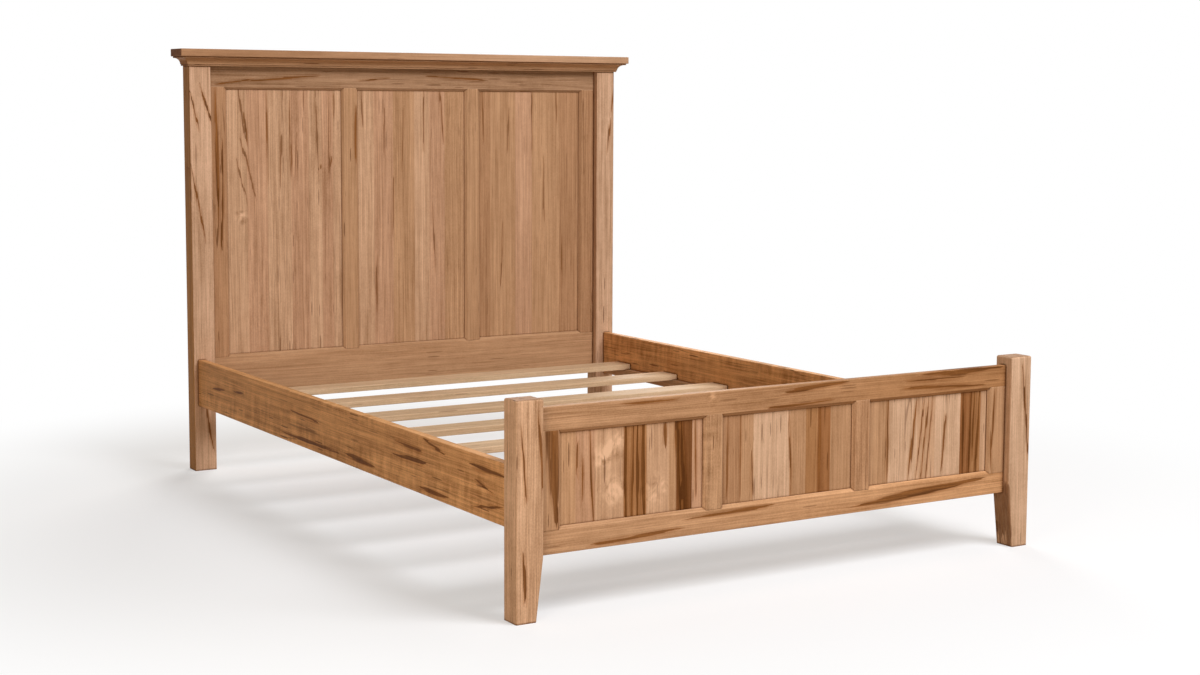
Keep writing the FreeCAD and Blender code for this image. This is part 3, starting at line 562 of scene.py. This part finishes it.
def streak_group():
    """One streak, pointed at both ends, and its halo, laid over those before it."""
    values = ("Streaks", "Halo", "Along", "Across", "Length", "Width", "Slant", "Depth")
    inputs = [("Board", "Vector"), ("Ragged", "Vector")] + [(name, "Float") for name in values]
    tree, g, given, result = new_group("streak", inputs, [("Streaks", "Float"), ("Halo", "Float")])
    _, _, along = g.split(given["Board"])
    ragged_across, _, ragged_along = g.split(given["Ragged"])
    lean = g.math("MULTIPLY", g.math("SUBTRACT", along, given["Along"]), given["Slant"])
    aside = g.math("ABSOLUTE", g.math("SUBTRACT", g.math("SUBTRACT", ragged_across, given["Across"]), lean))
    reach = g.math("DIVIDE", g.math("SUBTRACT", ragged_along, given["Along"]), given["Length"])
    bow = g.math("SUBTRACT", 1.0, g.math("MULTIPLY", reach, reach))
    half = g.math("MULTIPLY", given["Width"], g.math("MAXIMUM", bow, STREAK_END))
    fill = g.math("MULTIPLY", g.spread(g.math("DIVIDE", aside, half), *STREAK_EDGE), given["Depth"])
    near = g.spread(g.math("SUBTRACT", aside, half), HALO_REACH, 0.0)
    near = g.math("MULTIPLY", near, g.spread(bow, *HALO_ENDS))
    glow = g.math("MULTIPLY", near, given["Depth"], clamp=True)
    g.feed(result["Streaks"], g.math("MAXIMUM", given["Streaks"], fill))
    g.feed(result["Halo"], g.math("MAXIMUM", given["Halo"], glow))
    return tree


def eye_group():
    """One eye of a burl, added to those before it."""
    values = ("Figure", "Along", "Across", "Reach")
    inputs = [("Board", "Vector")] + [(name, "Float") for name in values]
    tree, g, given, result = new_group("eye", inputs, [("Figure", "Float")])
    across, _, along = g.split(given["Board"])
    aside = g.math("SUBTRACT", across, given["Across"])
    ahead = g.math("SUBTRACT", along, given["Along"])
    distance = g.length(g.joined(aside, ahead, 0.0))
    near = g.spread(g.math("DIVIDE", distance, given["Reach"]), *EYE_EDGE)
    g.feed(result["Figure"], g.math("MAXIMUM", given["Figure"], near))
    return tree


def ring_lines(g, point):
    """Growth rings as thin darker lines."""
    place = g.vector("MULTIPLY", g.vector("ADD", point, PITH_PLACE), RING_STRETCH)
    wave = g.add("TexWave", {"Vector": place, "Scale": RING_SCALE, **RING_WAVER}, wave_type="RINGS",
                 rings_direction="Z", wave_profile="SAW").outputs["Fac"]
    return g.math("POWER", wave, RING_SHARPNESS)


def scattered(g, point, layer, which, rare, growth, edge):
    """Spots in those of a layer's cells whose chance is over a share, larger the more it is over."""
    distance, chances = g.cells(point, layer)
    radius = g.math("MULTIPLY", g.math("SUBTRACT", chances[which], rare), growth)
    return g.math("MULTIPLY", g.math("SUBTRACT", radius, distance), edge, clamp=True)


def thin_lines(g, point, patches, wild):
    """Thin mineral lines and short ticks that no list places."""
    line = g.spread(g.math("ABSOLUTE", g.math("SUBTRACT", g.noise(point, LINES), MIDDLE)), *LINE_WIDTHS)
    line = g.math("MULTIPLY", line, g.spread(patches, *LINE_PATCHES))
    line = g.math("MULTIPLY", line, g.spread(g.noise(point, BREAKS), *LINE_BREAKS))
    tick = scattered(g, point, TICKS, TICK_CHANCE, TICK_RARE, TICK_GROWTH, TICK_EDGE)
    tick = g.math("MULTIPLY", tick, g.spread(patches, *TICK_PATCHES))
    tick = g.math("MULTIPLY", tick, g.math("ADD", wild, TICK_LEAST))
    return g.math("MAXIMUM", g.math("MULTIPLY", line, wild), tick, clamp=True)


def worm_holes(g, point, wild):
    """Small round holes, fainter in calm wood."""
    distance, chances = g.cells(point, HOLES)
    there = g.math("GREATER_THAN", chances[HOLE_CHANCE], HOLE_RARE)
    hole = g.math("MULTIPLY", g.spread(distance, *HOLE_EDGE), there)
    return g.math("MULTIPLY", hole, g.math("MULTIPLY", wild, HOLE_GAIN), clamp=True)


def stained(g, colour, grain, streaks, bands, fibre):
    """Wood with its stains, which end raggedly between the fibres and are striped, with a dark rim."""
    dark = linear(STREAK_DARK)
    deep = g.math("SUBTRACT", streaks, 1.0, clamp=True)
    stain = g.math("MINIMUM", streaks, 1.0)
    edge = g.math("MULTIPLY", stain, g.math("SUBTRACT", 1.0, stain))
    stain = g.math("ADD", stain, g.math("MULTIPLY", edge, g.varied(fibre, TORN_SHARE)), clamp=True)
    stripes = g.spread(g.math("MULTIPLY", g.math("ADD", bands, fibre), MEAN_OF_TWO), *STRIPES)
    stain_colour = g.mix(deep, g.mix(stripes, linear(STREAK_BROWN), dark), dark)
    stain_colour = g.vector("MULTIPLY", stain_colour, grain)
    colour = g.mix(g.math("MULTIPLY", stain, STAIN_COVER), colour, stain_colour)
    return g.mix(g.math("MULTIPLY", edge, RIM_COVER), colour, dark)


def maple_group():
    """Wormy maple: colour, roughness and height at a point of a board."""
    values = ("Streaks", "Halo", "Figure", "Wild", "Curl", "Contrast")
    inputs = [("Point", "Vector"), ("Tone", "Color")] + [(name, "Float") for name in values]
    outputs = [("Color", "Color"), ("Roughness", "Float"), ("Height", "Float")]
    tree, g, given, result = new_group("maple", inputs, outputs)
    wild = given["Wild"]
    bend = g.vector("SUBTRACT", g.noise(given["Point"], WARP, "Color"), HALF)
    point = g.vector("ADD", given["Point"], g.vector("MULTIPLY", bend, WARP_REACH))
    layers = [g.noise(point, layer) for layer in (CLOUD, BANDS, FIBRE, MOTTLE, SPECK)]
    _, bands, fibre, _, _ = layers
    thread = g.noise(point, THREAD)
    patches = g.noise(point, PATCHES)
    rings = ring_lines(g, point)
    line = thin_lines(g, point, patches, wild)

    # Light and dark of the sound wood
    shade = g.math("MULTIPLY", rings, -RING_SHARE)
    for layer, share in zip(layers, GRAIN_SHARES):
        shade = g.math("ADD", shade, g.varied(layer, share))
    shade = g.math("ADD", SOUND_SHADE, g.math("MULTIPLY", shade, given["Contrast"]))
    curl = g.varied(g.noise(point, CURL), given["Curl"])
    curl = g.math("MULTIPLY", curl, g.spread(patches, *CURL_PATCHES))
    quilt = g.math("SUBTRACT", g.noise(point, QUILT, distortion=QUILT_TWIST), QUILT_MIDDLE)
    burl = g.math("MULTIPLY", g.math("MULTIPLY", quilt, given["Figure"]), QUILT_SHARE)
    shade = g.math("ADD", g.math("ADD", shade, curl), burl, clamp=True)
    grain = g.mix(shade, DEEP_TINT, PALE_TINT)
    colour = g.vector("MULTIPLY", given["Tone"], grain)
    colour = g.mix(g.math("MULTIPLY", given["Halo"], HALO_COVER), colour, HALO_TINT, "MULTIPLY")

    # Stains, both the listed streaks and lenses that no list places, then lines and worm holes
    lens = scattered(g, point, LENSES, LENS_CHANCE, LENS_RARE, LENS_GROWTH, LENS_EDGE)
    streaks = g.math("MAXIMUM", given["Streaks"], g.math("MULTIPLY", lens, wild))
    colour = stained(g, colour, grain, streaks, bands, fibre)
    colour = g.mix(g.math("MULTIPLY", line, LINE_COVER), colour, linear(STREAK_DARK))
    colour = g.mix(worm_holes(g, point, wild), colour, linear(HOLE_DARK))

    height = g.math("MULTIPLY", g.math("ADD", thread, fibre), FIBRE_HEIGHT_SHARE)
    height = g.math("SUBTRACT", height, g.math("MULTIPLY", g.math("ADD", rings, line), LINE_HEIGHT_SHARE))
    g.feed(result["Color"], colour)
    g.feed(result["Roughness"], g.math("ADD", WOOD_ROUGHNESS, g.varied(thread, ROUGHNESS_SPAN)))
    g.feed(result["Height"], height)
    return tree


GROUPS = {"streak": streak_group(), "eye": eye_group(), "maple": maple_group()}


def group_node(g, name, **inputs):
    """A use of one of the groups."""
    node = g.tree.nodes.new("ShaderNodeGroup")
    node.node_tree = GROUPS[name]
    g.fill(node, inputs)
    return node.outputs


def empty_graph(owner):
    """The graph of a new material or world, with no nodes in it."""
    owner.use_nodes = True
    owner.node_tree.nodes.clear()
    return Graph(owner.node_tree)


def new_material(name):
    """A material with its graph and the shader that it ends in."""
    material = bpy.data.materials.new(name)
    g = empty_graph(material)
    shader = g.add("BsdfPrincipled")
    g.add("OutputMaterial", {"Surface": shader.outputs[0]})
    return material, g, shader


def board_point(g, grain):
    """The place on a board as (across, into, along) its grain."""
    place = g.split(g.add("TexCoord").outputs["Object"])
    return g.joined(*[place["XYZ".index(axis)] for axis in AXES[grain]])


def stave_ramp(g, share, staves):
    """The tone of each stave of a panel, and in alpha a number of its own."""
    node = g.add("ValToRGB", {"Fac": share})
    ramp = node.color_ramp
    ramp.interpolation = "CONSTANT"
    for number, (start, tone) in enumerate(staves):
        stop = ramp.elements[number] if number < len(ramp.elements) else ramp.elements.new(start)
        stop.position = start
        stop.color = (*linear(TONES[tone])[:3], (number + 1) / len(staves))
    return node.outputs


def painted_corners_and_edges(g, colour):
    """Wood darker in corners by painted shade and dirt, and lighter along open edges by wear and a painted
    highlight; and the rounded normal.
    """
    # Painted shade and dirt in corners
    open_share = g.add("AmbientOcclusion", {"Distance": CREVICE_REACH}, samples=CREVICE_RAYS).outputs["AO"]
    corner_shade_and_dirt = g.spread(open_share, *CREVICE_OPEN, 0.0, CREVICE_COVER)
    colour = g.mix(corner_shade_and_dirt, colour, CORNER_SHADE_AND_DIRT_TINT, "MULTIPLY")
    # Wear and a painted highlight along open edges
    rounded = g.add("Bevel", {"Radius": EDGE_RADIUS}, samples=EDGE_RAYS).outputs[0]
    flat = g.add("NewGeometry").outputs["Normal"]
    turn = g.add("VectorMath", {0: rounded, 1: flat}, operation="DOT_PRODUCT").outputs["Value"]
    worn_and_highlit = g.math("MULTIPLY", g.spread(turn, *EDGE_TURN), g.spread(open_share, *EDGE_OPEN))
    return g.mix(worn_and_highlit, colour, EDGE_WEAR_AND_HIGHLIGHT_TINT, "MULTIPLY"), rounded


def facing(g, axis):
    """How far the surface faces along an axis, from -1 to 1."""
    return g.split(g.add("TexCoord").outputs["Normal"])["XYZ".index(axis)]


def end_grain(g, colour, grain):
    """Wood darker on the faces that cut across its grain."""
    cut = g.spread(g.math("ABSOLUTE", facing(g, grain)), *FACE_TURN)
    return g.mix(cut, colour, END_TINT, "MULTIPLY")


def painted_left_shade(g, colour):
    """Wood with painted warm shade on its left face, darker and warmer than its other faces."""
    left = g.spread(g.math("MULTIPLY", facing(g, "X"), -1.0), *FACE_TURN)
    return g.mix(left, colour, LEFT_SHADE_TINT, "MULTIPLY")


def seed_offset(number):
    """How far a board's figure is moved from the first board's."""
    return tuple(number * step % span for step, span in zip(SEED_STEP, SEED_SPAN))


def place_of(mark, low, high, across, along):
    """The middle of a streak or an eye on a board, from its shares of the board."""
    size = high - low
    return {"Along": low[along] + size[along] * mark.along,
            "Across": low[across] + size[across] * mark.across}


def maple_material(node, number, look):
    """The finish of one board, with its own part of the figure, streaks and staves."""
    material, g, shader = new_material(node + "_maple")
    board = board_point(g, look.grain)
    low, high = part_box(node)
    across, _, along = ("XYZ".index(axis) for axis in AXES[look.grain])
    tone = linear(TONES[look.tone])
    if node in TONE_ENDS:
        far = g.spread(g.split(board)[2], low[along], high[along])
        tone = g.mix(far, tone, linear(TONES[TONE_ENDS[node]]))
    point = g.vector("ADD", board, seed_offset(number))
    if node in STAVE_SHARES:
        share = g.spread(g.split(board)[0], low[across], high[across], kind="LINEAR")
        tone, seed = stave_ramp(g, share, STAVE_SHARES[node])
        point = g.vector("ADD", point, g.scaled(STAVE_STEP, seed))
    shaken = g.vector("SUBTRACT", g.noise(point, RAGGED, "Color"), HALF)
    ragged = g.vector("ADD", board, g.vector("MULTIPLY", shaken, RAGGED_REACH))
    marks = {"Streaks": 0.0, "Halo": 0.0}
    for s in STREAKS.get(node, ()):
        place = place_of(s, low, high, across, along)
        made = group_node(g, "streak", Board=board, Ragged=ragged, Length=s.length, Width=s.width,
                          Slant=s.slant, Depth=s.depth, **place, **marks)
        marks = {name: made[name] for name in marks}
    figure = 0.0
    for e in EYES.get(node, ()):
        place = place_of(e, low, high, across, along)
        figure = group_node(g, "eye", Board=board, Figure=figure, Reach=e.reach, **place)["Figure"]
    wood = group_node(g, "maple", Point=point, Tone=tone, Figure=figure, Wild=look.wild,
                      Curl=look.curl, Contrast=look.contrast, **marks)
    colour = end_grain(g, wood["Color"], look.grain)
    # Painted shade on the left face of these boards
    if node in LEFT_SHADED_BOARDS:
        colour = painted_left_shade(g, colour)
    # Painted shade and dirt in corners, and wear with a painted highlight on open edges
    colour, rounded = painted_corners_and_edges(g, colour)
    bump = g.add("Bump", {**WOOD_BUMP, "Height": wood["Height"], "Normal": rounded}).outputs[0]
    g.fill(shader, {"Base Color": colour, "Roughness": wood["Roughness"], "Normal": bump,
                    "Specular IOR Level": WOOD_SPECULAR})
    return material


def metal_material(name, colour, roughness):
    """Plated steel with faint clouds in its plating and fine rubbing marks."""
    material, g, shader = new_material(name)
    place = g.add("TexCoord").outputs["Object"]
    clouds = g.noise(place, PLATING_CLOUDS)
    marks = g.noise(place, RUBBING)
    shade = g.math("ADD", PLATING_LEAST, g.math("MULTIPLY", clouds, PLATING_SPAN))
    rough = g.math("ADD", roughness, g.math("MULTIPLY", marks, RUBBING_ROUGHNESS))
    bump = g.add("Bump", {**RUBBING_BUMP, "Height": marks}).outputs[0]
    g.fill(shader, {"Base Color": g.scaled(colour, shade), "Roughness": rough, "Normal": bump,
                    "Metallic": 1.0})
    return material


def plastic_material(name, colour):
    """Moulded plastic with a fine grain, scuffed in places."""
    material, g, shader = new_material(name)
    place = g.add("TexCoord").outputs["Object"]
    grain = g.noise(place, PLASTIC_GRAIN)
    scuffs = g.spread(g.noise(place, SCUFFS), *SCUFF_EDGE)
    scuffed = g.mix(g.math("MULTIPLY", scuffs, SCUFF_COVER), colour, SCUFF_COLOUR)
    rough = g.math("ADD", PLASTIC_ROUGHNESS, g.math("MULTIPLY", scuffs, SCUFF_ROUGHNESS))
    bump = g.add("Bump", {**PLASTIC_BUMP, "Height": grain}).outputs[0]
    g.fill(shader, {"Base Color": scuffed, "Roughness": rough, "Normal": bump})
    return material


ZINC = metal_material("zinc_plating", ZINC_COLOUR, ZINC_ROUGHNESS)
YELLOW_ZINC = metal_material("yellow_zinc_plating", YELLOW_ZINC_COLOUR, YELLOW_ZINC_ROUGHNESS)
BLACK_PLASTIC = plastic_material("black_plastic", PLASTIC_COLOUR)


def dress(thing, material):
    """Gives a piece or node its one material."""
    thing.data.materials.clear()
    thing.data.materials.append(material)


def look_of(node):
    """The look of a board, by the longest kind that its name starts with. Hardware has none."""
    kinds = [kind for kind in LOOKS if node.startswith(kind) and "screws" not in node]
    return LOOKS[max(kinds, key=len)] if kinds else None


def dress_nodes():
    """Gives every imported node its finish."""
    for number, (node, thing) in enumerate(sorted(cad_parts.items())):
        look = look_of(node)
        if look:
            dress(thing, maple_material(node, number, look))
        elif "screws" in node:
            dress(thing, YELLOW_ZINC)
        elif "pad" in node:
            dress(thing, BLACK_PLASTIC)
        else:
            dress(thing, ZINC)


def mesh_object(name, shape, material):
    """An object of the scene from a modelled shape, which it uses up."""
    mesh = bpy.data.meshes.new(name)
    shape.to_mesh(mesh)
    shape.free()
    thing = bpy.data.objects.new(name, mesh)
    bpy.context.scene.collection.objects.link(thing)
    dress(thing, material)
    return thing


def mesh_piece(name, shape, body, slot, material, *nodes):
    """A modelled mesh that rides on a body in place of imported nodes."""
    piece = mesh_object(name, shape, material)
    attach(piece, body)
    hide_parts(*nodes)


def ring(shape, radii, height):
    """A closed ring of points, one for each radius."""
    step = 2 * math.pi / len(radii)
    points = [(r * math.cos(i * step), r * math.sin(i * step)) for i, r in enumerate(radii)]
    return [shape.verts.new((x, y, height)) for x, y in points]


def bridge(shape, lower, upper):
    """Faces between two rings of as many points."""
    for i in range(len(lower)):
        j = (i + 1) % len(lower)
        shape.faces.new((lower[i], lower[j], upper[j], upper[i]))


def threaded_stud(shape, centre, radius, bottom, top):
    """A rod with one helical thread, tapered at both ends."""
    step = THREAD_PITCH / RINGS_PER_TURN
    count = int((top - bottom) / step)
    rings = []
    for number in range(count + 1):
        height = bottom + (top - bottom) * number / count
        taper = min(1.0, (top - height) / THREAD_PITCH, (height - bottom) / THREAD_PITCH)
        radii = []
        for side in range(THREAD_SIDES):
            phase = (height / THREAD_PITCH - side / THREAD_SIDES) % 1.0
            radii.append(radius - THREAD_DEPTH * (1 - taper) - THREAD_DEPTH * taper * abs(2 * phase - 1))
        rings.append(ring(shape, radii, height))
    for lower, upper in zip(rings, rings[1:]):
        bridge(shape, lower, upper)
    shape.faces.new(list(reversed(rings[0])))
    shape.faces.new(rings[-1])
    bmesh.ops.translate(shape, verts=shape.verts, vec=centre)


def hexagon(shape, centre, corner, bottom, top):
    """A hexagon to hold with a spanner, chamfered round both faces."""
    heights = (bottom, bottom + HEX_CHAMFER_HEIGHT, top - HEX_CHAMFER_HEIGHT, top)
    radii = (corner - HEX_CHAMFER_WIDTH, corner, corner, corner - HEX_CHAMFER_WIDTH)
    made = [ring(shape, [r] * HEX_SIDES, height) for r, height in zip(radii, heights)]
    for lower, upper in zip(made, made[1:]):
        bridge(shape, lower, upper)
    shape.faces.new(list(reversed(made[0])))
    shape.faces.new(made[-1])
    bmesh.ops.translate(shape, verts=[v for one in made for v in one], vec=centre)


def shells(node):
    """The points of each separate solid of a node."""
    shape = bmesh.new()
    shape.from_mesh(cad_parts[node].data)
    bmesh.ops.remove_doubles(shape, verts=shape.verts, dist=MERGE_DISTANCE)
    left = set(shape.verts)
    found = []
    for first in shape.verts:
        if first not in left:
            continue
        left.remove(first)
        front = [first]
        shell = []
        while front:
            vertex = front.pop()
            shell.append(vertex.co.copy())
            near = [edge.other_vert(vertex) for edge in vertex.link_edges]
            fresh = [other for other in near if other in left]
            left.difference_update(fresh)
            front.extend(fresh)
        found.append(shell)
    shape.free()
    return found


def box_of(points):
    """The middle and the size of the box round some points."""
    low = Vector(min(p[i] for p in points) for i in range(3))
    high = Vector(max(p[i] for p in points) for i in range(3))
    return (low + high) / 2, high - low


def make_studs():
    """The levelling studs with their threads and hexagons."""
    for node in sorted(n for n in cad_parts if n.startswith("levelling_stud")):
        points = shells(node)[0]
        middle, _ = box_of(points)
        reach = {p.freeze(): (p.xy - middle.xy).length for p in points}
        corner = max(reach.values())
        shaft = max(r for r in reach.values() if r < corner * math.cos(math.pi / HEX_SIDES))
        nut = [p.z for p, r in reach.items() if r > shaft + MERGE_DISTANCE]
        heights = [p.z for p in points]
        centre = Vector((middle.x, middle.y, 0.0))
        shape = bmesh.new()
        threaded_stud(shape, centre, shaft, min(heights), max(heights))
        hexagon(shape, centre, corner, min(nut), max(nut))
        body = node.replace("levelling_stud", "stud")
        mesh_piece(node + "_threaded", shape, body, "plated_steel", ZINC, node)


def screw_shape(shape, head, shank, neck, tip, length):
    """A countersunk screw with a cross recess, its flat face up at the origin. Returns its points."""
    reach = head * RECESS_REACH_SHARE
    arm = head * RECESS_ARM_SHARE
    depth = head * RECESS_DEPTH_SHARE
    centre = shape.verts.new((0.0, 0.0, -depth))
    loops = [ring(shape, [head * share] * SCREW_SIDES, 0.0) for share in HEAD_RING_SHARES]
    for vertex in [v for loop in loops for v in loop]:
        out = vertex.co.xy.length
        if min(abs(vertex.co.x), abs(vertex.co.y)) < arm and out < reach:
            vertex.co.z = -depth * (1 - (out / reach) ** 2)
    for radius, height in ((head, 0.0), (shank, -neck), (shank, -tip)):
        loops.append(ring(shape, [radius] * SCREW_SIDES, height))
    point = shape.verts.new((0.0, 0.0, -length))
    for inner, outer in zip(loops, loops[1:]):
        bridge(shape, inner, outer)
    for end, loop in ((centre, loops[0]), (point, loops[-1])):
        for i in range(SCREW_SIDES):
            shape.faces.new((end, loop[i], loop[i - 1]))
    return [centre, point] + [v for loop in loops for v in loop]


def make_screws(node):
    """The screws of one node, each where its plain solid is."""
    shape = bmesh.new()
    for points in shells(node):
        middle, size = box_of(points)
        axis = max(range(3), key=lambda i: size[i])
        away = [p - middle for p in points]
        reach = [math.hypot(*(p[i] for i in range(3) if i != axis)) for p in away]
        head = max(reach)
        shank = min(r for r in reach if r > head * SHANK_LEAST_SHARE)
        on_head = [p for p, r in zip(away, reach) if r > head - MERGE_DISTANCE]
        side = math.copysign(1.0, sum(p[axis] for p in on_head))
        on_shank = [p for p, r in zip(away, reach) if abs(r - shank) < MERGE_DISTANCE]
        depths = [size[axis] / 2 - side * p[axis] for p in on_shank]
        made = screw_shape(shape, head, shank, min(depths), max(depths), size[axis])
        toward = Vector(side if i == axis else 0.0 for i in range(3))
        turn = Vector((0.0, 0.0, 1.0)).rotation_difference(toward).to_matrix()
        bmesh.ops.rotate(shape, verts=made, matrix=turn)
        bmesh.ops.translate(shape, verts=made, vec=middle + toward * size[axis] / 2)
    bmesh.ops.recalc_face_normals(shape, faces=shape.faces)
    mesh_piece(node + "_recessed", shape, "frame", "screw_steel", YELLOW_ZINC, node)


def seen_directly(g):
    """1 for rays from the camera, and for those that a mirror or glass sends on."""
    path = g.add("LightPath").outputs
    rays = g.math("MAXIMUM", path["Is Camera Ray"], path["Is Glossy Ray"])
    return g.math("MAXIMUM", rays, path["Is Transmission Ray"])


def stage_floor():
    """A pale floor that keeps the shadow near the bed and turns into plain white further out."""
    shape = bmesh.new()
    bmesh.ops.create_grid(shape, size=FLOOR_HALF)
    material = bpy.data.materials.new("pale_floor")
    g = empty_graph(material)
    direct = seen_directly(g)
    lit = g.add("BsdfDiffuse", {"Color": g.mix(direct, FLOOR_COLOUR, FLOOR_SEEN_COLOUR)}).outputs[0]
    plain = g.add("Emission", {"Color": WHITE, "Strength": 1.0}).outputs[0]
    distance = g.length(g.add("TexCoord").outputs["Object"])
    share = g.math("MULTIPLY", g.spread(distance, FLOOR_CLEAR, FLOOR_GONE, FLOOR_PALE), direct)
    both = g.add("MixShader", {0: share, 1: lit, 2: plain}).outputs[0]
    g.add("OutputMaterial", {"Surface": both})
    floor = mesh_object("floor", shape, material)


def light_studio():
    """Soft light from all round, and the lamps."""
    world = bpy.data.worlds.new("studio")
    bpy.context.scene.world = world
    g = empty_graph(world)
    soft = g.add("Background", {"Color": AMBIENT_COLOUR, "Strength": AMBIENT}).outputs[0]
    white = g.add("Background", {"Color": WHITE, "Strength": 1.0}).outputs[0]
    both = g.add("MixShader", {0: seen_directly(g), 1: soft, 2: white}).outputs[0]
    g.add("OutputWorld", {"Surface": both})
    for lamp in LAMPS:
        data = bpy.data.lights.new(lamp.name, "AREA")
        data.size = lamp.size
        data.energy = lamp.power
        data.color = lamp.colour
        thing = bpy.data.objects.new(lamp.name, data)
        thing.location = lamp.place
        toward = Vector(lamp.aim) - Vector(lamp.place)
        thing.rotation_euler = toward.to_track_quat("-Z", "Y").to_euler()
        bpy.context.scene.collection.objects.link(thing)


def set_camera():
    """The camera at the photograph's place and angle."""
    data = bpy.data.cameras.new("camera")
    data.sensor_width = SENSOR_WIDTH
    data.lens = FOCAL_PIXELS / IMAGE_WIDTH * SENSOR_WIDTH
    data.shift_y = -AXIS_ABOVE_MIDDLE / IMAGE_WIDTH
    camera = bpy.data.objects.new("camera", data)
    turn = Matrix.Rotation(CAMERA_YAW, 4, "Z") @ Matrix.Rotation(math.pi / 2 + CAMERA_PITCH, 4, "X")
    camera.matrix_world = Matrix.Translation(CAMERA_PLACE) @ turn @ Matrix.Rotation(CAMERA_ROLL, 4, "Z")
    bpy.context.scene.collection.objects.link(camera)
    bpy.context.scene.camera = camera


dress_nodes()
make_studs()
for screw_node in SCREW_NODES:
    make_screws(screw_node)
stage_floor()
light_studio()
set_camera()
bpy.context.scene.view_settings.view_transform = "Standard"
